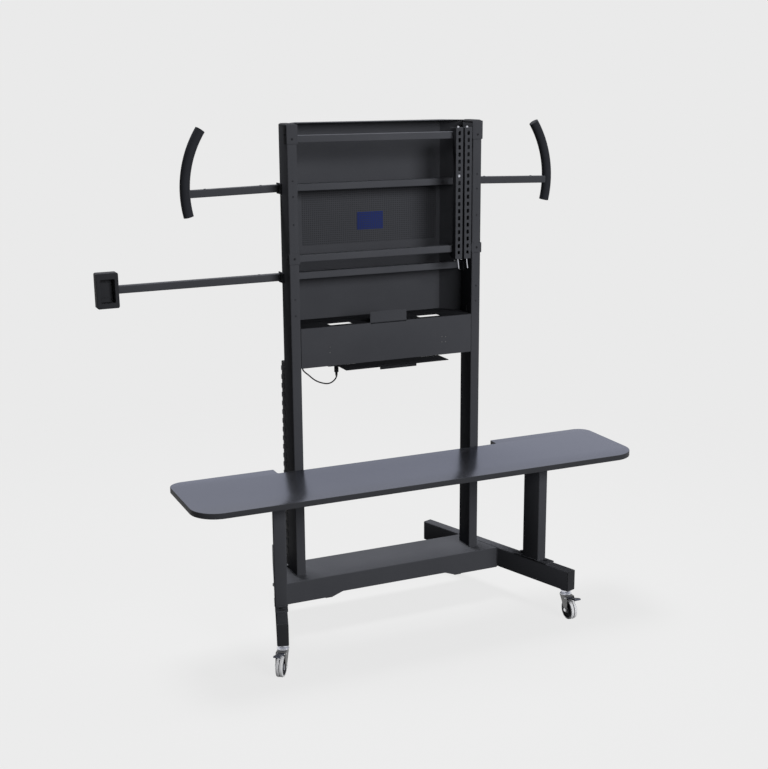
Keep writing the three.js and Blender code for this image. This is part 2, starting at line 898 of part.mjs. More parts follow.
// Rear pan and its perforated insert

const panMouth = columnDepth + seatGap;
const trayBottom = trayTop - panelSheet;

function makePan() {
  const line = [
    [columnInner + panFlange, panMouth],
    [columnInner, panMouth],
    [panHalf, panBack],
    [-panHalf, panBack],
    [-columnInner, panMouth],
    [-columnInner - panFlange, panMouth],
  ];
  const sheet = prismZ(foldedSheet(line.reverse(), panSheet), [trayBottom, panTop]);
  const lid = prismZ(outline(line.slice(1, -1)), [panTop - panSheet, panTop]);
  const wide = columnOuter + overrun;
  const notches = [upperRearRailTop, lowerRearRailTop].map((top) =>
    block(
      [-wide, wide],
      [0, panMouth + railSize + runGap],
      about(top - railSize / 2, clampHeight + 2 * runGap),
    ),
  );
  const window = block(
    [-panWindowHalf, panWindowHalf],
    [panBack - overrun, panBack + overrun],
    [panWindowBottom, panWindowTop],
  );
  return cut(join(sheet, lid), ...notches, window);
}

const insertHalf = panWindowHalf + insertLap;
const insertFront = panBack + panSheet + seatGap;
const insert = block(
  [-insertHalf, insertHalf],
  [insertFront, insertFront + insertThick],
  [panWindowBottom - insertLap, panWindowTop + insertLap],
);
addMesh(frame, "rear_pan", makePan(), blackSteel);
addMesh(frame, "perforated_insert", insert, blackSteel);

// Front panel with its tray, and the ledge below it

function makePanel() {
  const half = columnInner - seatGap;
  const wide = half + overrun;
  const back = panBack - seatGap;
  const backHalf = panHalf - seatGap;
  const section = outline([
    [0, panelBottom],
    [panelSheet, panelBottom],
    [panelSheet, trayBottom],
    [back - panelSheet, trayBottom],
    [back - panelSheet, trayTop - trayLip],
    [back, trayTop - trayLip],
    [back, trayTop],
    [0, trayTop],
  ]);
  const tab = block([-tabHalf, tabHalf], [0, panelSheet], [trayBottom, tabTop]);
  const slots = [-1, 1].map((side) => {
    const span = [side * traySlotNear, side * traySlotFar].sort((a, b) => a - b);
    const plan = roundedOutline(span, [traySlotFront, traySlotBack], traySlotCorner);
    return prismZ(plan, [trayBottom - overrun, trayTop + overrun]);
  });
  const returns = [-1, 1].flatMap((side) => {
    const span = [side * (half - panelSheet), side * wide].sort((a, b) => a - b);
    return [
      block(span, [0, panelReturn], [panelBottom, trayTop]),
      block(span, [earFront, earBack], [trayBottom, earTop]),
    ];
  });
  // The tray narrows behind the columns, along the pan's slanted walls.
  const taper = (half - backHalf) / (back - columnDepth);
  const corners = [-1, 1].map((side) => {
    const points = [
      [half + overrun * taper, columnDepth - overrun],
      [wide + overrun, columnDepth - overrun],
      [wide + overrun, back + overrun],
      [backHalf - overrun * taper, back + overrun],
    ].map(([x, y]) => [side * x, y]);
    const plan = outline(side > 0 ? points : points.reverse());
    return prismZ(plan, [panelBottom - overrun, trayTop + overrun]);
  });
  const whole = cut(
    join(prismX(section, [-wide, wide]), tab, ...returns),
    ...slots,
    ...corners,
  );
  const room = block(
    [-half, half],
    [-overrun, back + overrun],
    [panelBottom - overrun, tabTop + overrun],
  );
  return overlap(whole, room);
}

function makeLedge() {
  const top = panelBottom - seatGap;
  const behind = panelSheet + seatGap;
  const plate = block([-ledgeHalf, ledgeHalf], [-ledgeReach, behind], [top - ledgeSheet, top]);
  const lip = block(
    [-ledgeLipHalf, ledgeLipHalf],
    [-ledgeReach, ledgeSheet - ledgeReach],
    [top - ledgeLipDrop, top],
  );
  const foot = [-ledgeUpstandHalf, ledgeUpstandHalf];
  const upstand = join(
    block(foot, [0, behind + ledgeSheet], [top - ledgeSheet, top]),
    block(foot, [behind, behind + ledgeSheet], [top - ledgeSheet, top + ledgeUpstandHeight]),
  );
  return join(plate, lip, upstand);
}

addMesh(frame, "front_panel", makePanel(), blackSteel);
addMesh(frame, "front_ledge", makeLedge(), blackSteel);

// Display brackets

// A slotted channel open towards the rails, hooked over the top rail and latched under the low rail.
function makeBracket() {
  const front = -bracketDepth - seatGap;
  const back = -seatGap - runGap;
  const behind = railSize + runGap;
  const hookFoot = topRailTop - hookDrop;
  const latchTop = lowRailTop - railSize - runGap;
  const side = outline([
    [front, bracketBottom],
    [back, bracketBottom],
    [latchReach, latchTop - latchThick],
    [latchReach, latchTop],
    [back, latchTop],
    [back, topRailTop + runGap],
    [behind, topRailTop + runGap],
    [behind, hookFoot],
    [behind + hookLip, hookFoot],
    [behind + hookLip, bracketTop - latchTaper],
    [behind + hookLip - latchTaper, bracketTop],
    [front, bracketTop],
  ]);
  const inside = about(0, bracketWidth - 2 * bracketWall);
  const channel = cut(
    prismX(side, about(0, bracketWidth)),
    block(
      inside,
      [front + bracketWall, behind + hookLip + overrun],
      [bracketBottom - overrun, bracketTop + overrun],
    ),
  );
  const slotStraight = (slotHeight - slotWidth) / 2;
  const slots = Array.from({ length: slotCount }, (_, i) => {
    const shape = new THREE.Shape();
    shape.absarc(0, slotStraight, slotWidth / 2, 0, Math.PI);
    shape.absarc(0, -slotStraight, slotWidth / 2, Math.PI, 2 * Math.PI);
    const hole = prismY(shape, [front - overrun, front + bracketWall + overrun]);
    return hole.translate(0, 0, slotFirst - i * slotPitch);
  });
  const bridgeTop = bracketTop - bridgeDrop;
  const bridgeBack = front + bracketWall + bridgeDepth;
  const half = bracketWidth / 2 - bracketWall / 2;
  const bridge = cut(
    block(
      [-half, half],
      [front + bracketWall / 2, bridgeBack],
      [bridgeTop - bridgeThick, bridgeTop],
    ),
    rod(
      lockScrewRadius + seatGap,
      [bridgeTop - bridgeThick - overrun, bridgeTop + overrun],
      fineSides,
    ).translate(0, front + bracketWall + bridgeDepth / 2, 0),
  );
  const boss = cut(
    block(
      [-half, half],
      [front + bracketWall / 2, front + bracketWall + 2 * rodInset],
      [rodHeight, rodHeight + rodBossHeight],
    ),
    rodTool(rodRadius + seatGap, rodLength),
  );
  return join(cut(channel, ...slots), bridge, boss);
}

// A rod about the release rod's leaning axis, reaching the same way up as down from the boss.
function rodTool(radius, length) {
  const y = -bracketDepth - seatGap + bracketWall + rodInset;
  return rod(radius, [-length, length], fineSides)
    .rotateX(-rodLean)
    .translate(0, y, rodHeight);
}

function makeReleaseRod() {
  const y = -bracketDepth - seatGap + bracketWall + rodInset;
  const down = rodLength - rodBossHeight;
  return join(
    rod(rodRadius, [-down, rodBossHeight], fineSides),
    rod(rodKnobRadius, [-down, rodKnobHeight - down], fineSides),
  )
    .rotateX(-rodLean)
    .translate(0, y, rodHeight);
}

function makeLockScrew() {
  const y = -bracketDepth - seatGap + bracketWall + bridgeDepth / 2;
  const seat = bracketTop - bridgeDrop + lockScrewRise;
  return join(
    rod(lockScrewRadius, [seat - bridgeThick - lockScrewTail, seat + 2 * lockScrewRise], fineSides),
    rod(lockScrewHeadRadius, [seat, seat + bridgeDrop + lockScrewHeadHeight], fineSides),
  ).translate(0, y, 0);
}

const bracketMiddles = {
  left: bracketRight - bracketWidth * 1.5 - bracketGap,
  right: bracketRight - bracketWidth / 2,
};
for (const [name, x] of Object.entries(bracketMiddles)) {
  const bracket = addGroup(frame, x);
  addMesh(bracket, `${name}_bracket`, makeBracket(), blackSteel);
  addMesh(bracket, `${name}_bracket_rod`, makeReleaseRod(), chromeSteel);
  addMesh(bracket, `${name}_bracket_screw`, makeLockScrew(), chromeSteel);
}

// Sliding arms, built along +X from the column's outer face

const railInside = railSize - 2 * railWall;
const sleeveStart = seatGap + clampThick + armStandOff;

// A sleeve that droops slightly outside the rail, with a straight insert that slides in the rail.
function makeArm(reach, droop, insertLength, ...endCuts) {
  const size = railInside - 2 * runGap;
  const core = size - 2 * armCoreWall;
  const overlapEnd = sleeveStart + armSolidEnd;
  const insertBody = cut(
    block([sleeveStart - insertLength, overlapEnd - armCoreWall], about(0, size), about(0, size)),
    block(
      [sleeveStart - insertLength - overrun, sleeveStart],
      about(0, core),
      about(0, core),
    ),
  );
  const sleeve = cut(
    block([0, reach - sleeveStart], about(0, armSize), about(0, armSize)),
    block([armSolidEnd, reach + overrun], about(0, core), about(0, core)),
  )
    .rotateY(droop)
    .translate(sleeveStart, 0, 0);
  return join(insertBody, cut(sleeve, ...endCuts));
}

// The grip's centreline: a circular arc in the x-z plane, bowed outwards.
class GripArc extends THREE.Curve {
  getPoint(t, target = new THREE.Vector3()) {
    const angle = THREE.MathUtils.lerp(-gripBelow, gripAbove, t);
    return target.set(gripBow * (Math.cos(angle) - 1), 0, gripBow * Math.sin(angle));
  }
}

function makeGripTube(radius) {
  const section = new THREE.Shape().absarc(0, 0, radius, 0, 2 * Math.PI);
  return new THREE.ExtrudeGeometry(section, {
    steps: gripSteps,
    curveSegments: gripRoundSteps,
    extrudePath: new GripArc(),
  });
}

// A grip stands at the end of a drooping arm.
const atArmEnd = (geometry, reach, droop) =>
  geometry.translate(reach - sleeveStart, 0, 0).rotateY(droop).translate(sleeveStart, 0, 0);

const railMiddleY = columnDepth + seatGap + railSize / 2;
for (const [name, side] of Object.entries(sides)) {
  const handle = addGroup(
    frame,
    side * columnOuter,
    railMiddleY,
    upperRearRailTop - railSize / 2,
  );
  handle.rotation.z = side > 0 ? 0 : Math.PI;
  const room = atArmEnd(makeGripTube(gripRadius + seatGap), handleReach, handleDroop);
  const arm = makeArm(handleReach, handleDroop, armInsertLength, room);
  const grip = atArmEnd(makeGripTube(gripRadius), handleReach, handleDroop);
  addMesh(handle, `${name}_handle_arm`, arm, blackSteel);
  addMesh(handle, `${name}_grip`, grip, gripFoam);
}

function makeControlBox() {
  const body = prismY(
    roundedOutline([0, controlBoxWidth], about(0, controlBoxHeight), controlBoxCorner),
    about(0, controlBoxDepth),
  );
  const pocket = prismY(
    roundedOutline(
      about(controlBoxWidth / 2, controlPocketWidth),
      about(-controlPocketDrop, controlPocketHeight),
      controlPocketCorner,
    ),
    [controlBoxDepth / 2 - controlPocketDepth, controlBoxDepth / 2 + overrun],
  );
  return cut(body, pocket);
}

const control = addGroup(frame, -columnOuter, railMiddleY, lowerRearRailTop - railSize / 2);
control.rotation.z = Math.PI;
addMesh(
  control,
  "control_arm",
  makeArm(controlReach - seatGap, controlDroop, controlInsertLength),
  blackSteel,
);
addMesh(
  control,
  "control_box",
  atArmEnd(makeControlBox(), controlReach, controlDroop),
  blackPlastic,
);

// Cable chain

// Links in a row up the column's back, level with its outer face.
// Each waist is drawn in behind and at both sides.
function makeChain() {
  const from = legTop + seatGap;
  const links = Math.round((chainTop - from) / chainPitch);
  const pitch = (chainTop - from) / links;
  const waists = Array.from({ length: links - 1 }, (_, i) => from + (i + 1) * pitch);
  const edge = (outer, inner) => [
    [outer, from],
    ...waists.flatMap((z) => [
      [outer, z - chainWaistRun],
      [inner, z],
      [outer, z + chainWaistRun],
    ]),
    [outer, chainTop],
  ];
  const near = columnDepth + seatGap;
  const far = near + chainDepth;
  const [left, right] = [-columnOuter, chainWidth - columnOuter];
  const side = prismX(
    outline([[near, chainTop], [near, from], ...edge(far, far - chainWaist)]),
    [left, right],
  );
  const face = prismY(
    outline([...edge(left, left + chainSideWaist).reverse(), ...edge(right, right - chainSideWaist)]),
    [near - overrun, far + overrun],
  );
  return overlap(side, face);
}

addMesh(frame, "cable_chain", makeChain(), blackPlastic);

// Power outlet, plug, lead and gland

const plugTop = outletBottom - seatGap;
const plugFoot = plugTop - plugLength - plugTailLength;
const behindPanel = panelSheet + seatGap;

function makeOutlet() {
  const body = block(
    [outletLeft, outletRight],
    [behindPanel, behindPanel + outletDepth],
    [outletBottom, outletBottom + outletHeight],
  );
  const socket = rod(plugNeckRadius + seatGap, [
    outletBottom - overrun,
    outletBottom + plugNeckLength,
  ]);
  return cut(body, socket.translate(plugX, plugY, 0));
}

function makePlug() {
  const body = turned(
    [
      [0, plugFoot],
      [plugTailRadius, plugFoot],
      [plugTailRadius, plugFoot + plugTailLength],
      [plugRadius, plugFoot + plugTailLength],
      [plugRadius, plugTop],
      [plugNeckRadius, plugTop],
      [plugNeckRadius, plugTop + plugNeckLength],
      [0, plugTop + plugNeckLength],
    ],
    smallSides,
  );
  const bore = rod(
    leadRadius + seatGap,
    [plugFoot - overrun, plugFoot + leadSeat + seatGap],
    fineSides,
  );
  return cut(body, bore).translate(plugX, plugY, 0);
}

function makeGland() {
  const body = block(
    about(glandX, glandWidth),
    [behindPanel, behindPanel + glandDepth],
    [panelBottom, panelBottom + glandHeight],
  );
  const bore = rod(
    leadRadius + runGap,
    [panelBottom - overrun, panelBottom + leadSeat + seatGap],
    fineSides,
  );
  return cut(body, bore.translate(glandX, plugY, 0));
}

// The lead hangs in one loop from the plug to the gland.
const leadRoute = [
  [plugX, plugFoot + leadSeat],
  [plugX, plugFoot],
  [-202, 913],
  [-218, 900],
  [-238, 897],
  [-265, 905],
  [-286, 917],
  [-306, 935],
  [-323, 950],
  [glandX, 961],
  [glandX, panelBottom],
  [glandX, panelBottom + leadSeat],
];

function makeLead() {
  const path = new THREE.CatmullRomCurve3(
    leadRoute.map(([x, z]) => new THREE.Vector3(x, plugY, z)),
    false,
    "centripetal",
  );
  const section = new THREE.Shape().absarc(0, 0, leadRadius, 0, 2 * Math.PI);
  return new THREE.ExtrudeGeometry(section, {
    steps: leadSteps,
    curveSegments: leadRoundSteps,
    extrudePath: path,
  });
}

addMesh(frame, "power_outlet", makeOutlet(), blackPlastic);
addMesh(frame, "lead_plug", makePlug(), blackPlastic);
addMesh(frame, "lead_gland", makeGland(), blackPlastic);
addMesh(frame, "lead_cord", makeLead(), blackPlastic);

// The stand's origin is at the bottom centre of its bounding box

stand.updateMatrixWorld(true);
const bounds = new THREE.Box3().setFromObject(frame, true);
const middle = bounds.getCenter(new THREE.Vector3());
frame.position.set(-middle.x, -middle.y, -bounds.min.z);

export default stand;
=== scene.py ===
"""The looks of a mobile display stand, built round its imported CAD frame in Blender.

Shapes are made in the stand's own coordinates: x = 0 midway between the columns, y = 0 at their front faces,
z = 0 on the floor, in metres. One shift, read from the frame, then places them.
"""

import json
from math import atan2, cos, pi, radians, sin, tan

import bmesh
import bpy
from mathutils import Matrix, Vector, noise


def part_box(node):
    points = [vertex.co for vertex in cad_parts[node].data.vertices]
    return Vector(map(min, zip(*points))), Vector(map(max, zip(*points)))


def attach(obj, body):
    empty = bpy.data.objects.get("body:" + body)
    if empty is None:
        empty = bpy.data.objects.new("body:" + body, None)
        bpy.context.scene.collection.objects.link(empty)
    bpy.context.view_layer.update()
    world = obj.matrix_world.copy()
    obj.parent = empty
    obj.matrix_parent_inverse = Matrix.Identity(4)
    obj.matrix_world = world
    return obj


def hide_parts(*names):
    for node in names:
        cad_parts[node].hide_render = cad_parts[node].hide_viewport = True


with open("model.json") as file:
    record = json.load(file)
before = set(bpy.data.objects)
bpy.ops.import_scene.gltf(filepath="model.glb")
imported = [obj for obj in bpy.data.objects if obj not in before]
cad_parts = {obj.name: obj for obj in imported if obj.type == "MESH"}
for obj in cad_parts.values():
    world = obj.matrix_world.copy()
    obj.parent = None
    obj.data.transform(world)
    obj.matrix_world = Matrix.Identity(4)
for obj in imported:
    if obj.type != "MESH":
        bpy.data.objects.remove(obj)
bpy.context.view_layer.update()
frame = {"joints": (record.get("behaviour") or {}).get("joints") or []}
joints = {joint["name"]: joint for joint in frame["joints"]}

# Where the stand's own coordinates lie in the frame
stand_shift = Vector((
    (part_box("left_column")[0].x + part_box("right_column")[1].x) / 2,
    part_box("left_column")[0].y,
    0,
))
stand_place = Matrix.Translation(stand_shift)


def spans(node):
    """Where a node of the frame lies in the stand's coordinates: its x, y and z spans."""
    low, high = (Vector(corner) - stand_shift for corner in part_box(node))
    return tuple(zip(low, high))


# Camera, fitted to the photographed corners of the stand
image_width = 768
focal_pixels = 1272.9
sensor_width = 36
camera_place = (-1.8708, -4.1399, 1.9665)
camera_yaw = 0.4205
camera_pitch = 0.2362
camera_roll = -0.0063

# Small fits and edges
gap = 0.0003
run_gap = 0.0005
soft_edge = 0.0006
broad_edge = 0.0007
plate_edge = 0.0005
fine_edge = 0.0004
tube_edge = 0.0003
sharp_edge = 0.0002
cutter_edge = 0.0001
clear = 0.01  # how far a cutter reaches past what it cuts
weld_radius = 0.0024
weld_edge = 0.0005
smooth_below = radians(34)

# Screw heads: radius and height
foot_screw = (0.0065, 0.004)
board_screw = (0.0055, 0.003)
rail_screw = (0.0042, 0.0018)
wrap_screw = (0.004, 0.0018)
clamp_screw = (0.0042, 0.002)
ledge_screw = (0.004, 0.002)
arm_screw = (0.0045, 0.002)
stud_head = (0.0034, 0.0016)
rivet = (0.0021, 0.0009)

both_sides = (("left", -1), ("right", 1))

# Columns and their caps
(column_near, column_half), (_, column_depth), (column_foot, column_top) = spans("right_column")
column_width = column_half - column_near
column_inner = column_half - column_width
column_wall = 0.0025
column_corner = 0.004
cap_top = spans("right_column_cap")[2][1]
cap_round = 0.009
hole_radius = 0.003
hole_heights = [1.157, 1.214, 1.476, 1.572, 1.625]

# Legs, beam and posts
leg_bottom, leg_top = spans("left_leg")[2]
leg_width = 0.04
leg_offset = 0.4432
leg_splay = radians(18.16)
leg_front = -0.4
leg_rear = 0.3665
beam_front, beam_back = spans("base_beam")[1]
beam_bottom = 0.103
beam_sheet = 0.003
arch_top = 0.117
arch_half = 0.212
arch_run = 0.039
post_reach = 0.2155
post_width = 0.0445
post_length = 0.078
post_plate_length = 0.163
post_plate = 0.004

# Shelf
(shelf_left, shelf_right), (shelf_front, shelf_wing), (shelf_bottom, shelf_top) = spans("shelf")
shelf_recess = -0.018
shelf_notch_half = 0.4445
shelf_front_corner = 0.095
shelf_back_corner = 0.052

# Rails
rail_size = 0.025
rail_wall = 0.0021
plate_thick = 0.003
wrap_thick = 0.0016
clamp_height = 0.038
top_plates = spans("top_rail")[2]
low_plates = spans("low_rail")[2]
top_rail_top = top_plates[0] + rail_size + 0.004
low_rail_top = low_plates[1] - 0.005
upper_rear_top = sum(spans("upper_rear_rail")[2]) / 2 + rail_size / 2
lower_rear_top = sum(spans("lower_rear_rail")[2]) / 2 + rail_size / 2

# Pan, insert, panel and ledge
pan_sheet = 0.0015
pan_back = spans("rear_pan")[1][1] - pan_sheet
pan_half = 0.285
pan_foot, pan_top = spans("rear_pan")[2]
panel_sheet = 0.002
tray_top = pan_foot + panel_sheet
panel_bottom, tab_top = spans("front_panel")[2]
window_half = 0.268
window_bottom = 1.379
window_top = 1.575

# Display brackets
bracket_width = spans("left_bracket")[0][1] - spans("left_bracket")[0][0]
bracket_depth = 0.025
bracket_wall = 0.002
bracket_bottom, bracket_top = spans("left_bracket")[2]
slot_pitch = 0.0253
slot_count = 18
slot_first = bracket_top - 0.019

# Arms
arm_size = 0.026
sleeve_start = 0.0045
handle_reach = 0.335
handle_droop = radians(1.4)
grip_radius = 0.0177
grip_bow = 0.373
grip_above = radians(34.8)
grip_below = radians(12)
control_reach = 0.5805
control_droop = radians(0.33)

# Casters
wheel_radius = 0.037
wheel_width = 0.024
caster_trail = 0.028
fork_top = 0.09
fork_half = 0.0177
fork_sheet = 0.0025
pedal_pin_back = 0.024
pedal_pin_height = 0.081


# Shader values and finishes


def shader_step(operation, swapped=False):
    """An operator on values, which adds one Math node."""

    def step(value, other):
        sides = (other, value) if swapped else (value, other)
        return value.finish.math(operation, *sides)

    return step


class Value:
    """A shader socket's value or colour; arithmetic on it adds Math nodes."""

    def __init__(self, finish, socket):
        self.finish = finish
        self.socket = socket

    __add__ = shader_step("ADD")
    __radd__ = shader_step("ADD", swapped=True)
    __sub__ = shader_step("SUBTRACT")
    __rsub__ = shader_step("SUBTRACT", swapped=True)
    __mul__ = shader_step("MULTIPLY")
    __rmul__ = shader_step("MULTIPLY", swapped=True)
    __truediv__ = shader_step("DIVIDE")
    __gt__ = shader_step("GREATER_THAN")
    __lt__ = shader_step("LESS_THAN")


class Finish:
    """A procedural material, built from expressions on values."""

    def __init__(self, name):
        self.material = bpy.data.materials.new(name)
        self.material.use_nodes = True
        self.tree = self.material.node_tree
        self.tree.nodes.clear()

    def node(self, kind, settings=None, inputs=None, output=0):
        """A node of a kind, with its settings, and a value or a link for each named socket."""
        made = self.tree.nodes.new(kind)
        for name, setting in (settings or {}).items():
            setattr(made, name, setting)
        for name, given in (inputs or {}).items():
            self.feed(made.inputs[name], given)
        return Value(self, made.outputs[output]) if made.outputs else made

    def feed(self, socket, given):
        if isinstance(given, Value):
            self.tree.links.new(given.socket, socket)
        else:
            socket.default_value = given

    def math(self, operation, a, b):
        return self.node("ShaderNodeMath", {"operation": operation}, {0: a, 1: b})

    def place(self, scale=(1, 1, 1)):
        """Where a point is on the piece, in metres, stretched by a scale."""
        coordinates = self.node("ShaderNodeTexCoord", output="Object")
        return self.node("ShaderNodeMapping", inputs={"Vector": coordinates, "Scale": scale})

    def noise(self, scale, detail=2, stretch=(1, 1, 1)):
        inputs = {"Vector": self.place(stretch), "Scale": scale, "Detail": detail}
        return self.node("ShaderNodeTexNoise", inputs=inputs)

    def mix(self, share, a, b):
        made = self.tree.nodes.new("ShaderNodeMix")
        made.data_type = "RGBA"
        sockets = {socket.identifier: socket for socket in (*made.inputs, *made.outputs)}
        for name, given in (("Factor_Float", share), ("A_Color", a), ("B_Color", b)):
            self.feed(sockets[name], given)
        return Value(self, sockets["Result_Color"])

    def bump(self, height, depth, strength):
        inputs = {"Height": height, "Distance": depth, "Strength": strength}
        return self.node("ShaderNodeBump", inputs=inputs)

    def surface(self, **inputs):
        """The shader itself; its sockets are named in lower case with underscores."""
        named = {}
        for name, given in inputs.items():
            named[name.replace("_", " ").title().replace("Ior", "IOR")] = given
        shader = self.node("ShaderNodeBsdfPrincipled", inputs=named)
        self.node("ShaderNodeOutputMaterial", inputs={"Surface": shader})
        return self.material


cool_share = 0.2  # how much of a grey's extra blue its green takes


def grey(level, blue=1.0):
    """A grey whose blue is stronger by a factor, and its green by a share of that."""
    return (level, level * (1 + (blue - 1) * cool_share), level * blue, 1.0)


def powder_coat(name="powder_coat", level=0.046):
    """Satin black coat: faint orange peel, fine sparkle and slow drifts of tone."""
    finish = Finish(name)
    peel = finish.noise(900, 3)
    drift = finish.noise(5, 3)
    grain = finish.noise(2600, 1)
    colour = finish.mix(drift, grey(level * 0.87, 1.18), grey(level * 1.13, 1.16))
    colour = finish.mix((grain > 0.66) * 0.3, colour, grey(level * 2.2, 1.1))
    return finish.surface(
        base_color=colour,
        roughness=0.42 + 0.1 * drift + 0.06 * peel,
        specular_ior_level=0.004,
        normal=finish.bump(peel, 0.00012, 0.5),
    )


def moulded_plastic(name="moulded_plastic", level=0.02, rough=0.55, blue=1.15):
    """Matt plastic with a fine spark-eroded texture."""
    finish = Finish(name)
    texture = finish.noise(1500)
    drift = finish.noise(14)
    return finish.surface(
        base_color=finish.mix(drift, grey(level, blue), grey(level * 1.35, blue)),
        roughness=rough + 0.12 * texture,
        specular_ior_level=0.05,
        normal=finish.bump(texture, 0.00015, 0.45),
    )


def foam_sleeve():
    """The grips' smooth sleeve, slightly soft to look at."""
    finish = Finish("foam_sleeve")
    cells = finish.noise(2200)
    drift = finish.noise(20)
    return finish.surface(
        base_color=finish.mix(drift, grey(0.018, 1.25), grey(0.025, 1.25)),
        roughness=0.3 + 0.14 * cells,
        specular_ior_level=0.02,
        normal=finish.bump(cells, 0.0001, 0.35),
    )


def board_laminate():
    """Grey laminate: short fibres along the board, a fine speckle and slow drifts."""
    finish = Finish("board_laminate")
    fibres = finish.noise(38, 4, (1.2, 26, 26))
    speckle = finish.noise(1400, 1)
    drift = finish.noise(2.2)
    colour = finish.mix(fibres, grey(0.182, 1.2), grey(0.224, 1.17))
    colour = finish.mix(drift * 0.4, colour, grey(0.19, 1.2))
    colour = finish.mix((speckle > 0.63) * 0.15, colour, grey(0.26, 1.15))
    return finish.surface(
        base_color=colour,
        metallic=0.93,
        roughness=0.2 + 0.05 * fibres,
        specular_ior_level=0.3,
        specular_tint=(0.62, 0.64, 0.74, 1.0),
        normal=finish.bump(fibres + speckle, 0.00003, 0.25),
    )


def edge_band():
    """The board's darker plastic edge."""
    finish = Finish("edge_band")
    wipe = finish.noise(60, 3, (1, 1, 8))
    return finish.surface(
        base_color=finish.mix(wipe, grey(0.026, 1.2), grey(0.034, 1.15)),
        roughness=0.42 + 0.12 * wipe,
        specular_ior_level=0.08,
        normal=finish.bump(wipe, 0.00005, 0.4),
    )


def zinc_plate(name="zinc_plate", level=0.78, blue=1.1):
    """Zinc plate: rolled grain, faint clouding and a few duller patches."""
    finish = Finish(name)
    rolled = finish.noise(240, 3, (1, 8, 1))
    cloud = finish.noise(70, 3)
    return finish.surface(
        base_color=finish.mix(cloud, grey(level * 0.75, blue), grey(level * 1.2, blue)),
        metallic=0.94 + 0.06 * cloud,
        roughness=0.26 + 0.2 * cloud + 0.06 * rolled,
        normal=finish.bump(rolled, 0.00005, 0.4),
    )


def chrome_plate():
    finish = Finish("chrome_plate")
    haze = finish.noise(160)
    return finish.surface(
        base_color=finish.mix(haze, grey(0.74, 1.03), grey(0.82, 1.02)),
        metallic=1.0,
        roughness=0.07 + 0.09 * haze,
        normal=finish.bump(haze, 0.00002, 0.3),
    )


def tread_rubber():
    """Light grey tread with a little floor dust."""
    finish = Finish("tread_rubber")
    dust = finish.noise(110, 4)
    scuff = finish.noise(420, 2, (6, 1, 1))
    colour = finish.mix(dust, grey(0.56, 1.04), grey(0.66, 1.03))
    colour = finish.mix((scuff > 0.66) * 0.2, colour, grey(0.36))
    return finish.surface(
        base_color=colour,
        roughness=0.52 + 0.2 * dust,
        specular_ior_level=0.4,
        normal=finish.bump(dust, 0.0001, 0.4),
    )


def holes(finish):
    """1 inside the round holes of a perforated sheet, 0 between them."""
    pitch = 0.0075
    reach = 0.1  # the radius squared, in pitches
    across = finish.place((1 / pitch, 1, 1 / pitch))
    cell = finish.node("ShaderNodeSeparateXYZ", inputs={"Vector": across}, output="X")
    rise = finish.node("ShaderNodeSeparateXYZ", inputs={"Vector": across}, output="Z")
    u = finish.math("FRACT", cell, 0.0) - 0.5
    v = finish.math("FRACT", rise, 0.0) - 0.5
    return (u * u + v * v) < reach


def perforated_steel():
    """Black sheet with rows of small round holes painted on it, each painted dark inside as painted shade.
    """
    finish = Finish("perforated_steel")
    hole = holes(finish)
    drift = finish.noise(6)
    coat = finish.mix(drift, grey(0.037, 1.18), grey(0.047, 1.16))
    return finish.surface(
        # The holes' near-black is painted shade, in openings the flat sheet doesn't have
        base_color=finish.mix(hole * 0.35, coat, grey(0.004)),
        roughness=0.5 + 0.3 * hole,
        specular_ior_level=0.05,
        normal=finish.bump(1 - hole, 0.0003, 0.4),
    )


def blue_enamel():
    """Blue plate seen through the sheet's holes."""
    finish = Finish("blue_enamel")
    weave = finish.noise(700)
    blue = finish.mix(weave, (0.005, 0.016, 0.11, 1), (0.009, 0.024, 0.15, 1))
    return finish.surface(
        base_color=finish.mix(0.35 + 0.5 * holes(finish), grey(0.028, 1.18), blue),
        roughness=0.5 + 0.15 * weave,
        specular_ior_level=0.05,
        normal=finish.bump(weave, 0.00008, 0.4),
    )


coat = powder_coat()
# A darker copy of the coat: painted shade for the tray under the pan and the ledge under the panel
painted_shade_coat = powder_coat("painted_shade_coat", 0.016)
rail_coat = powder_coat("rail_coat", 0.056)
plastic = moulded_plastic()
hub_plastic = moulded_plastic("hub_plastic", 0.28, 0.45)
pedal_plastic = moulded_plastic("pedal_plastic", 0.07, 0.3, 1.35)
sleeve_foam = foam_sleeve()
laminate = board_laminate()
band = edge_band()
zinc = zinc_plate()
dull_zinc = zinc_plate("dull_zinc", 0.17, 1.0)
pull_steel = zinc_plate("pull_steel", 0.7)
chrome = chrome_plate()
rubber = tread_rubber()
perforated = perforated_steel()
enamel = blue_enamel()
cord_rubber = moulded_plastic("cord_rubber", 0.016, 0.4)


# Outlines: closed lists of points in a plane


def arc(x, y, radius, start, end, steps):
    """Points round a centre from one angle to another."""
    angles = [start + (end - start) * i / steps for i in range(steps + 1)]
    return [(x + radius * cos(a), y + radius * sin(a)) for a in angles]


def box_loop(xs, ys, radius=0.0, steps=5):
    (x0, x1), (y0, y1) = xs, ys
    if not radius:
        return [(x0, y0), (x1, y0), (x1, y1), (x0, y1)]
    r = radius
    return [
        *arc(x1 - r, y0 + r, r, -pi / 2, 0, steps),
        *arc(x1 - r, y1 - r, r, 0, pi / 2, steps),
        *arc(x0 + r, y1 - r, r, pi / 2, pi, steps),
        *arc(x0 + r, y0 + r, r, pi, 3 * pi / 2, steps),
    ]


def ring(xs, ys, wall, radius):
    """The two outlines of a rectangular tube's wall."""
    inner = [(low + wall, high - wall) for low, high in (xs, ys)]
    return [box_loop(xs, ys, radius), box_loop(*inner, max(radius - wall, 0.0006))]


def round_loop(x, y, radius, steps):
    return arc(x, y, radius, 0, 2 * pi * (1 - 1 / steps), steps - 1)


def about(centre, size):
    return (centre - size / 2, centre + size / 2)


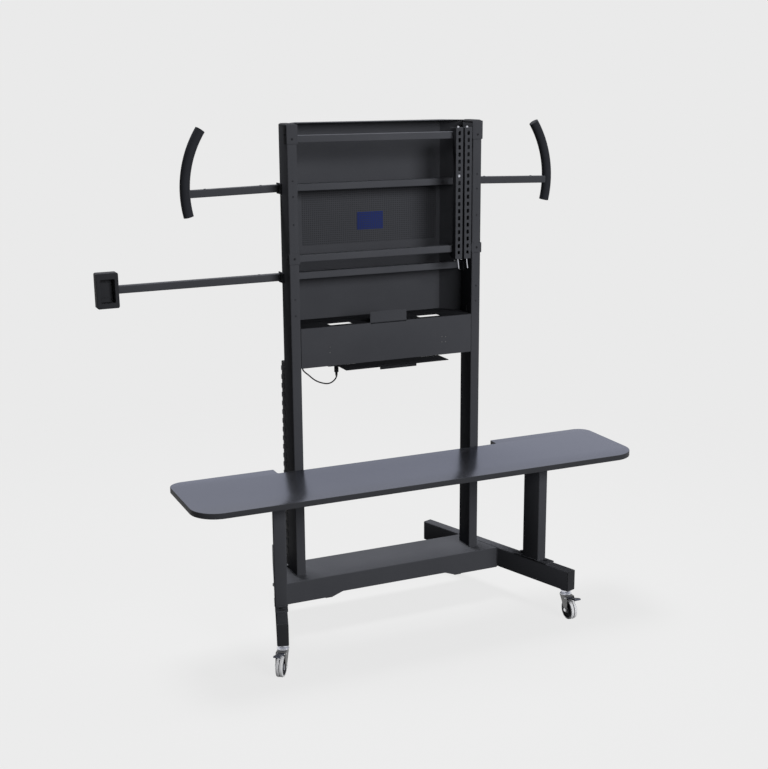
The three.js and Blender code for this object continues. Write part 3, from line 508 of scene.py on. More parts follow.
def eased(points, radius, steps=4, closed=True):
    """The same corners, each rounded by a radius where the sides are long enough."""
    count = len(points)
    done = []
    for i, point in enumerate(points):
        if not closed and i in (0, count - 1):
            done.append(point)
            continue
        corner = Vector(point)
        before = Vector(points[i - 1]) - corner
        after = Vector(points[(i + 1) % count]) - corner
        half = before.angle(after) / 2
        back = min(radius / tan(half), before.length * 0.45, after.length * 0.45)
        a = corner + before.normalized() * back
        b = corner + after.normalized() * back
        for k in range(steps + 1):
            t = k / steps
            done.append(tuple(a * (1 - t) ** 2 + corner * 2 * t * (1 - t) + b * t * t))
    return done


def sheet_loop(line, thickness, bend):
    """A sheet's section: a line with eased bends, thickened to its left."""
    path = [Vector(p) for p in eased(line, bend, closed=False)]
    sides = []
    for a, b in zip(path, path[1:]):
        along = (b - a).normalized()
        sides.append(Vector((-along.y, along.x)))
    far = []
    for i, point in enumerate(path):
        mitre = (sides[max(i - 1, 0)] + sides[min(i, len(sides) - 1)]).normalized()
        far.append(point + mitre * thickness / mitre.dot(sides[min(i, len(sides) - 1)]))
    return [tuple(p) for p in [*path, *reversed(far)]]


# Shapes: meshes in the stand's coordinates


def at(x, y, z, turning=None):
    """A place in the stand's coordinates, with a turn where one is given."""
    place = Matrix.Translation((x, y, z))
    return place if turning is None else place @ turning


def turn(angle, axis):
    return Matrix.Rotation(angle, 4, axis)


along_x = turn(pi / 2, "Y")
towards_front = turn(pi / 2, "X")
towards_back = turn(-pi / 2, "X")
upside_down = turn(pi, "X")
half_round = turn(pi, "Z")


def outwards(side):
    """From standing up to facing out of one side of the stand."""
    return turn(side * pi / 2, "Y")


def span_on(side, near, far):
    """A span on one side of the stand's middle, in rising order."""
    return sorted((side * near, side * far))


def flat(loops, span, soft=soft_edge, softness=1):
    """An outline with its holes, raised between two heights, with softened edges."""
    z0, z1 = span
    curve = bpy.data.curves.new("flat", "CURVE")
    curve.dimensions = "2D"
    curve.fill_mode = "BOTH"
    curve.extrude = (z1 - z0) / 2 - soft
    curve.bevel_depth = soft
    curve.bevel_resolution = softness
    curve.offset = -soft
    for loop in loops:
        spline = curve.splines.new("POLY")
        spline.points.add(len(loop) - 1)
        for point, (x, y) in zip(spline.points, loop):
            point.co = (x, y, 0, 1)
        spline.use_cyclic_u = True
    return moved(from_curve(curve), at(0, 0, (z0 + z1) / 2))


def swept(points, radius, sides):
    """A round bar along a line of points."""
    curve = bpy.data.curves.new("swept", "CURVE")
    curve.dimensions = "3D"
    curve.bevel_depth = radius
    curve.bevel_resolution = sides
    curve.use_fill_caps = True
    spline = curve.splines.new("POLY")
    spline.points.add(len(points) - 1)
    for point, place in zip(spline.points, points):
        point.co = (*place, 1)
    return from_curve(curve)


def from_curve(curve):
    holder = bpy.data.objects.new(curve.name, curve)
    mesh = bpy.data.meshes.new_from_object(holder)
    bpy.data.objects.remove(holder)
    bpy.data.curves.remove(curve)
    return mesh


def frontal(loops, span, soft, softness=1):
    """A front outline (x, z) carried from y0 back to y1."""
    mesh = flat(loops, about(0, span[1] - span[0]), soft, softness)
    return moved(mesh, at(0, sum(span) / 2, 0, towards_front))


def sideways(loops, span, soft, softness=1):
    """A side outline (y, z) carried from x0 to x1."""
    mesh = flat(loops, about(0, span[1] - span[0]), soft, softness)
    return moved(mesh, at(sum(span) / 2, 0, 0, turn(pi / 2, "Z") @ towards_front))


def front_plate(xs, zs, ys, corner, soft, softness=1):
    return frontal([box_loop(xs, zs, corner)], ys, soft, softness)


def side_plate(ys, zs, xs, corner, soft, softness=1):
    return sideways([box_loop(ys, zs, corner)], xs, soft, softness)


def moved(mesh, matrix):
    mesh.transform(matrix)
    return mesh


def rounded_block(xs, ys, zs, radius, segments=2):
    made = bmesh.new()
    bmesh.ops.create_cube(made, size=1)
    size = [high - low for low, high in (xs, ys, zs)]
    place = at(sum(xs) / 2, sum(ys) / 2, sum(zs) / 2, Matrix.Diagonal((*size, 1)))
    bmesh.ops.transform(made, matrix=place, verts=made.verts)
    bevel = {"offset": radius, "segments": segments, "profile": 0.5, "affect": "EDGES"}
    bmesh.ops.bevel(made, geom=made.edges[:], **bevel)
    return to_mesh(made)


def to_mesh(made):
    mesh = bpy.data.meshes.new("shape")
    made.to_mesh(mesh)
    made.free()
    return mesh


def turned(profile, sides):
    """A profile of (radius, height) points turned about the z axis."""
    made = bmesh.new()
    angles = [2 * pi * i / sides for i in range(sides)]
    rings = []
    for radius, height in profile:
        around = angles if radius > 1e-7 else [0]
        rings.append([made.verts.new((radius * cos(a), radius * sin(a), height)) for a in around])
    for low, high in zip(rings, rings[1:]):
        for i in range(sides):
            corners = [low[i % len(low)], low[(i + 1) % len(low)]]
            corners += [high[(i + 1) % len(high)], high[i % len(high)]]
            unique = list(dict.fromkeys(corners))
            if len(unique) > 2:
                made.faces.new(unique)
    bmesh.ops.recalc_face_normals(made, faces=made.faces)
    return to_mesh(made)


def mirrored_ring(profile, sides):
    """A closed ring, turned from half its section (radius, height) and the same above."""
    return turned([*profile, *[(r, -h) for r, h in reversed(profile)], profile[0]], sides)


def rod(radius, span, sides=24, soft=0.0004):
    z0, z1 = span
    s = min(soft, radius / 2)
    outline = [(0, z0), (radius - s, z0), (radius, z0 + s), (radius, z1 - s), (radius - s, z1), (0, z1)]
    return turned(outline, sides)


def weld(start, end, radius=weld_radius):
    """A weld bead: short overlapping ripples between two points."""
    start, end = Vector(start), Vector(end)
    count = max(int((end - start).length / (radius * 1.1)), 2)
    points = [start.lerp(end, i / count) for i in range(count + 1)]
    bead = bmesh.new()
    along = (end - start).normalized()
    facing = along.to_track_quat("Z", "Y").to_matrix().to_4x4()
    for point in points:
        swell = radius * (0.92 + 0.16 * noise.noise(point * 90))
        lump = at(*point, facing) @ Matrix.Diagonal((swell, swell, radius * 0.85, 1))
        bmesh.ops.create_uvsphere(bead, u_segments=10, v_segments=6, radius=1, matrix=lump)
    return to_mesh(bead)


def screw(size, place, socket=0.5, sides=24):
    """A button head (radius, height) with a hexagonal socket, standing up from its place."""
    radius, height = size
    key = radius * socket
    mouth = (key * 1.15, height)
    dome = [(0, 0), (radius, 0), (radius, height * 0.35), (radius * 0.9, height * 0.75), mouth]
    cup = [mouth, (key, height * 0.96), (key, height * 0.4), (0, height * 0.35)]
    head = bmesh.new()
    head.from_mesh(turned(dome, sides))
    head.from_mesh(turned(cup, 6))
    return moved(to_mesh(head), place)


def hexagon_nut(radius, height):
    return flat([round_loop(0, 0, radius, 6)], (0, height))


def carve(mesh, *cutters, keep=False):
    """The mesh less its cutters, or what it shares with them."""
    holder = bpy.data.objects.new("body", welded(mesh))
    bpy.context.scene.collection.objects.link(holder)
    tools = []
    for cutter in cutters:
        tool = bpy.data.objects.new("tool", welded(cutter))
        bpy.context.scene.collection.objects.link(tool)
        tools.append(tool)
        change = holder.modifiers.new("cut", "BOOLEAN")
        change.operation = "INTERSECT" if keep else "DIFFERENCE"
        change.solver = "EXACT"
        change.object = tool
    graph = bpy.context.evaluated_depsgraph_get()
    result = bpy.data.meshes.new_from_object(holder.evaluated_get(graph))
    for used in (*tools, holder):
        bpy.data.objects.remove(used)
    return result


def welded(mesh):
    """The mesh with its shared corners joined."""
    made = bmesh.new()
    made.from_mesh(mesh)
    bmesh.ops.remove_doubles(made, verts=made.verts, dist=1e-6)
    made.to_mesh(mesh)
    made.free()
    return mesh


def picked(mesh, wanted):
    """The mesh's faces that pass a test."""
    made = bmesh.new()
    made.from_mesh(mesh)
    others = [face for face in made.faces if not wanted(face)]
    bmesh.ops.delete(made, geom=others, context="FACES")
    return to_mesh(made)


def piece(name, shapes, node=None, body="stand", where=None):
    """One object made of shapes by finish, in the stand's coordinates or in a place of its own."""
    made = bmesh.new()
    for index, group in enumerate(shapes.values()):
        for shape in group:
            start = len(made.faces)
            made.from_mesh(welded(shape))
            made.faces.ensure_lookup_table()
            for face in made.faces[start:]:
                face.material_index = index
    mesh = to_mesh(made)
    mesh.name = name
    mesh.transform(stand_place @ (where or Matrix.Identity(4)))
    mesh.shade_smooth()
    mesh.set_sharp_from_angle(angle=smooth_below)
    for finish in shapes:
        mesh.materials.append(finish)
    made_object = bpy.data.objects.new(name, mesh)
    bpy.context.scene.collection.objects.link(made_object)
    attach(made_object, body)
    if node:
        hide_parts(node)
    return made_object


# Camera, lights, floor


def add_camera():
    ahead, yaw_side = cos(camera_pitch), cos(camera_yaw)
    forward = Vector((sin(camera_yaw) * ahead, yaw_side * ahead, -sin(camera_pitch)))
    level_right = Vector((yaw_side, -sin(camera_yaw), 0))
    level_up = level_right.cross(forward)
    right = level_right * cos(camera_roll) + level_up * sin(camera_roll)
    up = level_up * cos(camera_roll) - level_right * sin(camera_roll)
    camera = bpy.data.objects.new("camera", bpy.data.cameras.new("camera"))
    camera.data.sensor_fit = "HORIZONTAL"
    camera.data.sensor_width = sensor_width
    camera.data.lens = sensor_width * focal_pixels / image_width
    facing = Matrix((right, up, -forward)).transposed().to_4x4()
    camera.matrix_world = stand_place @ at(*camera_place, facing)
    bpy.context.scene.collection.objects.link(camera)
    bpy.context.scene.camera = camera


def add_lamp(name, place, target, size, power):
    lamp = bpy.data.lights.new(name, "AREA")
    lamp.shape = "DISK"
    lamp.size = size
    lamp.energy = power
    holder = bpy.data.objects.new(name, lamp)
    aim = Vector(target) - Vector(place)
    holder.matrix_world = at(*place, aim.to_track_quat("-Z", "Y").to_matrix().to_4x4())
    holder.visible_glossy = False
    bpy.context.scene.collection.objects.link(holder)


backdrop_level = 0.8228
ambient_level = 0.02
bounce_level = 0.06
floor_level = 0.6
floor_reach = 30
shadow_share = 0.08
floor_clear = 3.2  # from here outwards the floor is as pale as the backdrop


def seen_directly(finish):
    """1 for what the camera, a reflection or glass shows of the surroundings."""
    path = finish.tree.nodes.new("ShaderNodeLightPath")
    camera, glossy, through = (
        Value(finish, path.outputs[f"Is {kind} Ray"]) for kind in ("Camera", "Glossy", "Transmission")
    )
    return finish.math("MINIMUM", camera + glossy + through, 1.0)


def add_surroundings():
    world = bpy.data.worlds.new("studio")
    bpy.context.scene.world = world
    world.use_nodes = True
    sky = Finish("sky")
    sky.tree = world.node_tree
    sky.tree.nodes.clear()
    shade = sky.mix(seen_directly(sky), grey(ambient_level), grey(backdrop_level))
    light = sky.node("ShaderNodeBackground", inputs={"Color": shade, "Strength": 1.0})
    sky.node("ShaderNodeOutputWorld", inputs={"Surface": light})

    ground = Finish("pale_floor")
    seen = seen_directly(ground)
    length = {"operation": "LENGTH"}
    distance = ground.node("ShaderNodeVectorMath", length, {0: ground.place()}, output="Value")
    near = ground.math("MAXIMUM", 1 - distance / floor_clear, 0.0)
    matt = ground.node("ShaderNodeBsdfDiffuse", inputs={"Color": grey(floor_level)})
    bounced = ground.node("ShaderNodeBsdfDiffuse", inputs={"Color": grey(bounce_level)})
    glow = ground.node("ShaderNodeEmission", inputs={"Color": grey(backdrop_level)})
    pale = ground.node("ShaderNodeMixShader", inputs={0: 1 - near * shadow_share, 1: matt, 2: glow})
    blend = ground.node("ShaderNodeMixShader", inputs={0: seen, 1: bounced, 2: pale})
    ground.node("ShaderNodeOutputMaterial", inputs={"Surface": blend})
    floor = bmesh.new()
    bmesh.ops.create_grid(floor, x_segments=1, y_segments=1, size=floor_reach)
    floor_object = bpy.data.objects.new("floor", to_mesh(floor))
    floor_object.data.materials.append(ground.material)
    bpy.context.scene.collection.objects.link(floor_object)


add_camera()
add_surroundings()
add_lamp("key", (2.4, -8.6, 4.6), (0.0, 0.0, 1.2), 5.0, 900)
add_lamp("fill", (1.5, -5.4, 1.9), (0.0, 0.0, 1.2), 2.5, 50)
add_lamp("top", (0.0, 2.5, 9.0), (-0.2, 0.0, 0.6), 3.0, 1500)
bpy.context.scene.view_settings.view_transform = "Standard"


# Lead with its plug and gland

lead_y = 0.019
plug_x = -0.199
gland_x = -0.329
gland_width = 0.012
gland_depth = 0.026
gland_heights = (0.004, 0.022)  # above the panel's lower edge
gland_nut = (0.0072, 0.004)
gland_nut_rise = 0.001
plug_top = spans("power_outlet")[2][0] - gap
plug_foot = plug_top - 0.035
lead_seat = 0.007
lead_diameter = 0.005
route_steps = 4
lead_route = [
    (plug_x, plug_foot + lead_seat),
    (plug_x, plug_foot),
    (-0.202, 0.913),
    (-0.218, 0.9),
    (-0.238, 0.897),
    (-0.265, 0.905),
    (-0.286, 0.917),
    (-0.306, 0.935),
    (-0.323, 0.95),
    (gland_x, 0.961),
    (gland_x, panel_bottom),
    (gland_x, panel_bottom + lead_seat),
]


def smooth_route(points):
    """A curve through listed points (x, z), close enough together to measure."""
    places = [Vector((x, lead_y, z)) for x, z in points]
    done = []
    for i in range(len(places) - 1):
        p0 = places[max(i - 1, 0)]
        p1, p2 = places[i], places[i + 1]
        p3 = places[min(i + 2, len(places) - 1)]
        square = 2 * p0 - 5 * p1 + 4 * p2 - p3
        cube = 3 * p1 - p0 - 3 * p2 + p3
        for k in range(route_steps):
            t = k / route_steps
            done.append(0.5 * (2 * p1 + (p2 - p0) * t + square * t * t + cube * t**3))
    return [*done, places[-1]]


def add_lead():
    route = smooth_route(lead_route)
    shapes = {cord_rubber: [swept(route, lead_diameter / 2, 5)]}
    tube = piece("lead", shapes, "lead_cord")
    relief = [(0, -0.008), (0.0026, -0.008), (0.0042, 0.0), (0.0044, 0.001)]
    ribs = [(0.0046 - 0.0004 * (i % 2), 0.0012 + 0.0008 * i) for i in range(9)]
    body = [(0.0062, 0.0092), (0.0078, 0.0105), (0.008, 0.03), (0.0074, 0.0348), (0.0, 0.0348)]
    plug_shape = moved(turned([*relief, *ribs, *body], 40), at(plug_x, lead_y, plug_foot))
    plug = piece("lead_plug_body", {plastic: [plug_shape]}, "lead_plug")
    behind = panel_sheet + gap
    nut = moved(hexagon_nut(*gland_nut), at(gland_x, lead_y, panel_bottom + gland_nut_rise))
    heights = [panel_bottom + height for height in gland_heights]
    depths = (behind, behind + gland_depth)
    block = rounded_block(about(gland_x, gland_width), depths, heights, 0.0015, 3)
    piece("gland", {plastic: [block, nut]}, "lead_gland")


add_lead()


# Columns

column_edge = 0.004
drill = (-0.006, 0.006)
plug_depths = (-0.002, -0.0002)


def add_column(name, side):
    middle = side * (column_half - column_width / 2)
    xs, ys = about(middle, column_width), (0, column_depth)
    foot = column_foot
    tube = flat(ring(xs, ys, column_wall, column_corner), (foot, column_top), tube_edge)
    drills, plugs = [], []
    for height in hole_heights:
        place = at(middle, 0, height, towards_front)
        drills.append(moved(rod(hole_radius, drill, 20, 0), place))
        plugs.append(moved(rod(hole_radius - gap, plug_depths, 20, 0.0006), place))
    beads = [weld((xs[0] + column_edge, y, foot), (xs[1] - column_edge, y, foot)) for y in ys]
    beads += [weld((x, column_edge, foot), (x, column_depth - column_edge, foot)) for x in xs]
    shapes = {coat: [carve(tube, *drills), *beads], plastic: plugs}
    piece(f"{name}_column_tube", shapes, f"{name}_column")
    plan = box_loop(xs, ys, column_corner, 6)
    cap = carve(
        flat([plan], (column_top + gap, cap_top + clear), sharp_edge),
        frontal([cap_outline(xs)], (-clear, column_depth + clear), cutter_edge),
        sideways([cap_outline(ys)], (xs[0] - clear, xs[1] + clear), cutter_edge),
        keep=True,
    )
    piece(f"{name}_column_top", {plastic: [cap]}, f"{name}_column_cap")


def cap_outline(span):
    """A cap seen from one side: straight below and rounded at both upper corners."""
    foot = column_top - 0.005
    return [
        (span[0], foot),
        (span[1], foot),
        *arc(span[1] - cap_round, cap_top - cap_round, cap_round, 0, pi / 2, 8),
        *arc(span[0] + cap_round, cap_top - cap_round, cap_round, pi / 2, pi, 8),
    ]


for name, side in both_sides:
    add_column(name, side)


# Legs, their end caps and the posts

leg_wall = 0.0025
leg_corner = 0.004
cap_flange = 0.003
post_bolt_reach = 0.062
post_bolt_hole = 0.0035
post_weld_half = (0.017, 0.035)
post_weld_radius = 0.002


def add_leg(name, side):
    where = at(side * leg_offset, 0, 0, turn(side * leg_splay, "Z"))
    across, heights = about(0, leg_width), (leg_bottom, leg_top)
    front, rear = leg_front + cap_flange, leg_rear - cap_flange
    tube = frontal(ring(across, heights, leg_wall, leg_corner), (front, rear), tube_edge)
    piece(f"{name}_leg_tube", {coat: [tube]}, f"{name}_leg", where=where)
    for end, depths in {"front": (leg_front, front - gap), "rear": (rear + gap, leg_rear)}.items():
        cap = {plastic: [front_plate(across, heights, depths, leg_corner, 0.0011, 3)]}
        piece(f"{end}_{name}_leg_end", cap, f"{end}_{name}_leg_cap", where=where)
    add_post(name, where)


def add_post(name, where):
    foot, head = leg_top + gap, shelf_bottom - gap
    centre = -post_reach
    across, along = about(0, post_width), about(centre, post_length)
    tube = flat(ring(across, along, leg_wall, leg_corner), (foot, head), tube_edge)
    bolt_places = [centre - post_bolt_reach, centre + post_bolt_reach]
    plan = [box_loop(across, about(centre, post_plate_length), 0.003)]
    plan += [round_loop(0, y, post_bolt_hole, 16) for y in bolt_places]
    plates = [flat(plan, (low, low + post_plate), plate_edge) for low in (foot, head - post_plate)]
    beads = []
    weld_x, weld_y = post_weld_half
    for z in (foot + post_plate, head - post_plate):
        for y, x in zip(along, (weld_edge - post_width / 2, post_width / 2 - weld_edge)):
            beads.append(weld((-weld_x, y, z), (weld_x, y, z), post_weld_radius))
            beads.append(weld((x, centre - weld_y, z), (x, centre + weld_y, z), post_weld_radius))
    bolts = [screw(foot_screw, at(0, y, foot + post_plate)) for y in bolt_places]
    bolts += [screw(board_screw, at(0, y, head - post_plate, upside_down)) for y in bolt_places]
    shapes = {coat: [tube, *plates, *beads], plastic: bolts}
    piece(f"{name}_post_tube", shapes, f"{name}_post", where=where)


for name, side in both_sides:
    add_leg(name, side)


# Cross beam

beam_foot_place = 0.267
beam_foot_width = 0.028
beam_foot_depth = 0.0255
beam_foot_inset = 0.0005
beam_foot_heights = (-0.0025, 0.002)  # from the beam's lower edge
beam_bend = 0.004
arch_bend = 0.02
beam_weld_inset = 0.003
beam_weld_rise = 0.004
channel_end = 0.9  # share of the leg's offset beyond which the channel is cut along the legs


def leg_face(y, margin=0.0):
    """How far out the leg's inner face is at a depth."""
    return leg_offset - y * tan(leg_splay) - (leg_width / 2 + margin) / cos(leg_splay)


def add_beam():
    line = [(beam_back, beam_bottom), (beam_back, leg_top), (beam_front, leg_top), (beam_front, beam_bottom)]
    section = sheet_loop(line, beam_sheet, beam_bend)
    channel = sideways([section], (-leg_offset, leg_offset), tube_edge)
    arch_foot, below = arch_half + arch_run, beam_bottom - clear
    rise = [(arch_foot, below), (arch_foot, beam_bottom), (arch_half, arch_top)]
    arch = eased([(-arch_foot, below), *rise, *[(-x, z) for x, z in rise[:0:-1]]], arch_bend)
    through = (beam_front - 2 * clear, beam_back + 2 * clear)
    channel = carve(channel, frontal([arch], through, cutter_edge))
    for vertex in channel.vertices:
        if abs(vertex.co.x) > leg_offset * channel_end:
            edge = leg_face(vertex.co.y, gap)
            vertex.co.x = edge if vertex.co.x > 0 else -edge
    foot_front = beam_front + beam_foot_inset
    foot_depths = (foot_front, foot_front + beam_foot_depth)
    foot_heights = [beam_bottom + height for height in beam_foot_heights]
    feet, beads = [], []
    for side in (-1, 1):
        across = about(side * beam_foot_place, beam_foot_width)
        feet.append(rounded_block(across, foot_depths, foot_heights, 0.0008))
        depths = (beam_front + beam_weld_inset, beam_back - beam_weld_inset)
        beads.append(weld(*[(side * leg_face(y), y, leg_top) for y in depths]))
        for y in (beam_front, beam_back):
            x = side * leg_face(y)
            low, high = beam_bottom + beam_weld_rise, leg_top - beam_weld_inset
            beads.append(weld((x, y, low), (x, y, high)))
    shapes = {coat: [channel, *beads], plastic: feet}
    piece("beam_channel", shapes, "base_beam")


add_beam()


# Shelf

notch_corner = 0.008
wing_corner = 0.004
board_edge = 0.0015
level_enough = 0.97  # how upright a normal is on the board's laminated faces


def add_shelf():
    notch = shelf_notch_half
    front, wing = shelf_front + shelf_front_corner, shelf_wing - shelf_back_corner
    recess, ear = shelf_recess + notch_corner, shelf_wing - wing_corner
    outline = [
        *arc(shelf_right - shelf_front_corner, front, shelf_front_corner, -pi / 2, 0, 20),
        *arc(shelf_right - shelf_back_corner, wing, shelf_back_corner, 0, pi / 2, 18),
        *arc(notch + wing_corner, ear, wing_corner, pi / 2, pi, 4),
        *arc(notch - notch_corner, recess, notch_corner, 0, -pi / 2, 5),
        *arc(notch_corner - notch, recess, notch_corner, -pi / 2, -pi, 5),
        *arc(-notch - wing_corner, ear, wing_corner, 0, pi / 2, 4),
        *arc(shelf_left + shelf_back_corner, wing, shelf_back_corner, pi / 2, pi, 18),
        *arc(shelf_left + shelf_front_corner, front, shelf_front_corner, pi, 3 * pi / 2, 20),
    ]
    board = flat([outline], (shelf_bottom, shelf_top), board_edge, 3)
    faces = picked(board, lambda face: abs(face.normal.z) >= level_enough)
    rim = picked(board, lambda face: abs(face.normal.z) < level_enough)
    piece("shelf_board", {laminate: [faces], band: [rim]}, "shelf")


add_shelf()


# Rails between the columns

rail_corner = 0.0025
wrap_depth = 0.03
wrap_lap = 0.0025
wrap_corner = 0.006
wrap_screw_depth = 0.016
clamp_depth = 0.026
clamp_corner = 0.003
clamp_screw_depth = 0.014
clamp_screw_rise = 0.012


def add_front_rail(node, top, plates):
    half = column_inner - gap
    outer = column_half + gap
    cover = outer + wrap_thick
    face = -gap - plate_thick
    outlines = ring((-gap, rail_size - gap), (top - rail_size, top), rail_wall, rail_corner)
    shapes = {rail_coat: [sideways(outlines, (-half, half), sharp_edge)], coat: [], plastic: []}
    for side in (-1, 1):
        xs = span_on(side, column_inner - wrap_lap, cover)
        wrap = span_on(side, outer, cover)
        shapes[coat].append(front_plate(xs, plates, (face, -gap), rail_corner, broad_edge, 2))
        shapes[coat].append(side_plate((face, wrap_depth), plates, wrap, wrap_corner, broad_edge, 2))
        face_place = at(side * (column_half - column_width / 2), face, top - rail_size / 2, towards_front)
        wrap_place = at(side * cover, wrap_screw_depth, sum(plates) / 2, outwards(side))
        shapes[plastic] += [screw(rail_screw, face_place), screw(wrap_screw, wrap_place)]
    piece(f"{node}_bar", shapes, node)


def add_rear_rail(node, top):
    depths = (column_depth + gap, column_depth + gap + rail_size)
    outer = column_half + gap + plate_thick
    middle = top - rail_size / 2
    outlines = ring(depths, (top - rail_size, top), rail_wall, rail_corner)
    shapes = [sideways(outlines, (-outer, outer), sharp_edge)]
    inside = [(low + rail_wall, high - rail_wall) for low, high in (depths, (top - rail_size, top))]
    clamp = box_loop((column_depth - clamp_depth, depths[1]), about(middle, clamp_height), clamp_corner)
    for side in (-1, 1):
        for near in (column_inner - gap - plate_thick, column_half + gap):
            span = span_on(side, near, near + plate_thick)
            shapes.append(sideways([clamp, box_loop(*inside, 0.001)], span, soft_edge, 2))
        for rise in (-clamp_screw_rise, clamp_screw_rise):
            place = at(side * outer, column_depth - clamp_screw_depth, middle + rise, outwards(side))
            shapes.append(screw(clamp_screw, place))
    piece(f"{node}_bar", {rail_coat: shapes}, node)


add_front_rail("top_rail", top_rail_top, top_plates)
add_front_rail("low_rail", low_rail_top, low_plates)
add_rear_rail("upper_rear_rail", upper_rear_top)
add_rear_rail("lower_rear_rail", lower_rear_top)


# Rear pan with its perforated insert

pan_flange = 0.026
pan_bend = 0.003
notch_gap = 0.001
window_corner = 0.006
insert_lap = 0.009
insert_thick = 0.0012
blue_plate_half = 0.052
blue_plate_heights = (1.427, 1.491)
blue_plate_depths = (-0.0009, -0.0001)  # from the insert's front


def add_pan():
    mouth = column_depth + gap
    outer = column_inner + pan_flange
    slants = [(-column_inner, mouth), (-pan_half, pan_back), (pan_half, pan_back), (column_inner, mouth)]
    section = sheet_loop([(-outer, mouth), *slants, (outer, mouth)], pan_sheet, pan_bend)
    sheet = flat([section], (pan_foot, pan_top), tube_edge)
    far = pan_back + pan_sheet
    lid_plan = [(-column_inner, mouth), (column_inner, mouth), (pan_half, far), (-pan_half, far)]
    lid = flat([lid_plan], (pan_top - pan_sheet, pan_top), fine_edge)
    wide = column_half + clear
    clamped = column_inner - plate_thick - notch_gap
    ys = (-clear, mouth + rail_size + notch_gap / 2)
    notches = []
    for top in (upper_rear_top, lower_rear_top):
        tube_heights = about(top - rail_size / 2, rail_size + notch_gap)
        clamp_heights = about(top - rail_size / 2, clamp_height + notch_gap)
        notches.append(rounded_block((-wide, wide), ys, tube_heights, plate_edge, 1))
        for side in (-1, 1):
            beside = span_on(side, clamped, wide)
            notches.append(rounded_block(beside, ys, clamp_heights, plate_edge, 1))
    depths = (pan_back - clear, pan_back + clear)
    heights = (window_bottom, window_top)
    window = front_plate((-window_half, window_half), heights, depths, window_corner, cutter_edge)
    shapes = {coat: [carve(sheet, *notches, window), lid]}
    piece("pan_sheet", shapes, "rear_pan")
    lap = window_half + insert_lap
    front = far + gap
    heights = (window_bottom - insert_lap, window_top + insert_lap)
    insert = front_plate((-lap, lap), heights, (front, front + insert_thick), 0.002, tube_edge)
    piece("insert_sheet", {perforated: [insert]}, "perforated_insert")
    width = (-blue_plate_half, blue_plate_half)
    depths = [front + depth for depth in blue_plate_depths]
    plate = front_plate(width, blue_plate_heights, depths, 0.002, sharp_edge)
    piece("insert_plate", {enamel: [plate]})


add_pan()


# Front panel with its tray, and the ledge

tab = (-0.072, 0.072)
tray_slot = (0.134, 0.22)
tray_slot_depths = (0.0185, 0.0535)
tray_lip = 0.012
ear_span = (0.034, 0.058)
ear_height = 0.027
rivet_places = [
    *((-0.23, height) for height in (1.034, 1.014)),
    *((0.232, height) for height in (1.032, 1.013)),
    *((0.217, height) for height in (1.033, 1.013)),
]
ledge_sheet = 0.002
ledge_half = 0.203
ledge_reach = 0.085
ledge_drop = 0.011
ledge_foot = (-0.13, 0.13)
ledge_upstand = 0.028
ledge_screw_height = 0.016
ledge_screws = (-0.1, 0.0, 0.1)


def add_panel():
    half = column_inner - gap
    back = pan_back - gap
    back_half = pan_half - gap
    low = tray_top - panel_sheet
    sheet = (0, panel_sheet)
    face_loop = eased(box_loop((-half, half), (panel_bottom, low + 0.0005)), 0.0005)
    tab_loop = eased(box_loop(tab, (low - 0.004, tab_top)), 0.002)
    shapes = [frontal([loop], sheet, broad_edge, 2) for loop in (face_loop, tab_loop)]
    plan = [(-half, 0.0), (half, 0.0), (half, column_depth)]
    plan += [(back_half, back), (-back_half, back), (-half, column_depth)]
    slots = [box_loop(span_on(side, *tray_slot), tray_slot_depths, 0.006, 6) for side in (-1, 1)]
    tray = flat([plan, *slots], (low, tray_top), soft_edge, 2)
    lip_heights = (tray_top - tray_lip, tray_top)
    lip_depths = (back - panel_sheet, back)
    lip = front_plate((-back_half, back_half), lip_heights, lip_depths, 0.001, plate_edge)
    ear_loop = eased(box_loop(ear_span, (low, tray_top + ear_height)), 0.004)
    for side in (-1, 1):
        span = span_on(side, half - panel_sheet, half)
        shapes.append(side_plate((0.0, 0.07), (panel_bottom, tray_top), span, 0.002, plate_edge))
        shapes.append(sideways([ear_loop], span, plate_edge))
    rivets = [screw(rivet, at(x, 0, z, towards_front), 0.4, 14) for x, z in rivet_places]
    # The tray and its lip take the darker coat, as painted shade under the pan
    finishes = {coat: shapes, painted_shade_coat: [tray, lip], dull_zinc: rivets}
    piece("panel_sheet", finishes, "front_panel")


def add_ledge():
    top = panel_bottom - gap
    low = top - ledge_sheet
    behind = panel_sheet + gap
    plan = eased(box_loop((-ledge_half, ledge_half), (-ledge_reach, behind)), 0.003)
    plate = flat([plan], (low, top), soft_edge, 2)
    lip_loop = eased(box_loop(tab, (top - ledge_drop, top)), 0.002)
    lip = frontal([lip_loop], (-ledge_reach, ledge_sheet - ledge_reach), soft_edge, 2)
    foot = flat([box_loop(ledge_foot, (0.0, behind + ledge_sheet))], (low, top), fine_edge)
    upstand_heights = (low, top + ledge_upstand)
    upstand = front_plate(ledge_foot, upstand_heights, (behind, behind + ledge_sheet), 0.002, plate_edge)
    height = top + ledge_screw_height
    places = [at(x, behind + ledge_sheet, height, towards_back) for x in ledge_screws]
    screws = [screw(ledge_screw, place) for place in places]
    # The ledge takes the darker coat, as painted shade under the panel
    shapes = {painted_shade_coat: [plate, lip, foot, upstand], zinc: screws}
    piece("ledge_sheet", shapes, "front_ledge")


add_panel()
add_ledge()


# Display brackets

slot_width = 0.0095
slot_height = 0.015
hook_thick = 0.004
hook_drop = 0.016
latch_depth = 0.019
latch_lip = 0.009
bridge_heights = (-0.011, -0.008)  # from the bracket's top
boss_heights = (0.003, 0.017)  # from the bracket's bottom
pull_radius = 0.0018
pull_knob_radius = 0.0026
pull_top = 0.014
pull_bottom = -0.04
pull_lean = radians(-14)
stud_slot = 6
stud_nut = (0.014, 0.003, 0.01)


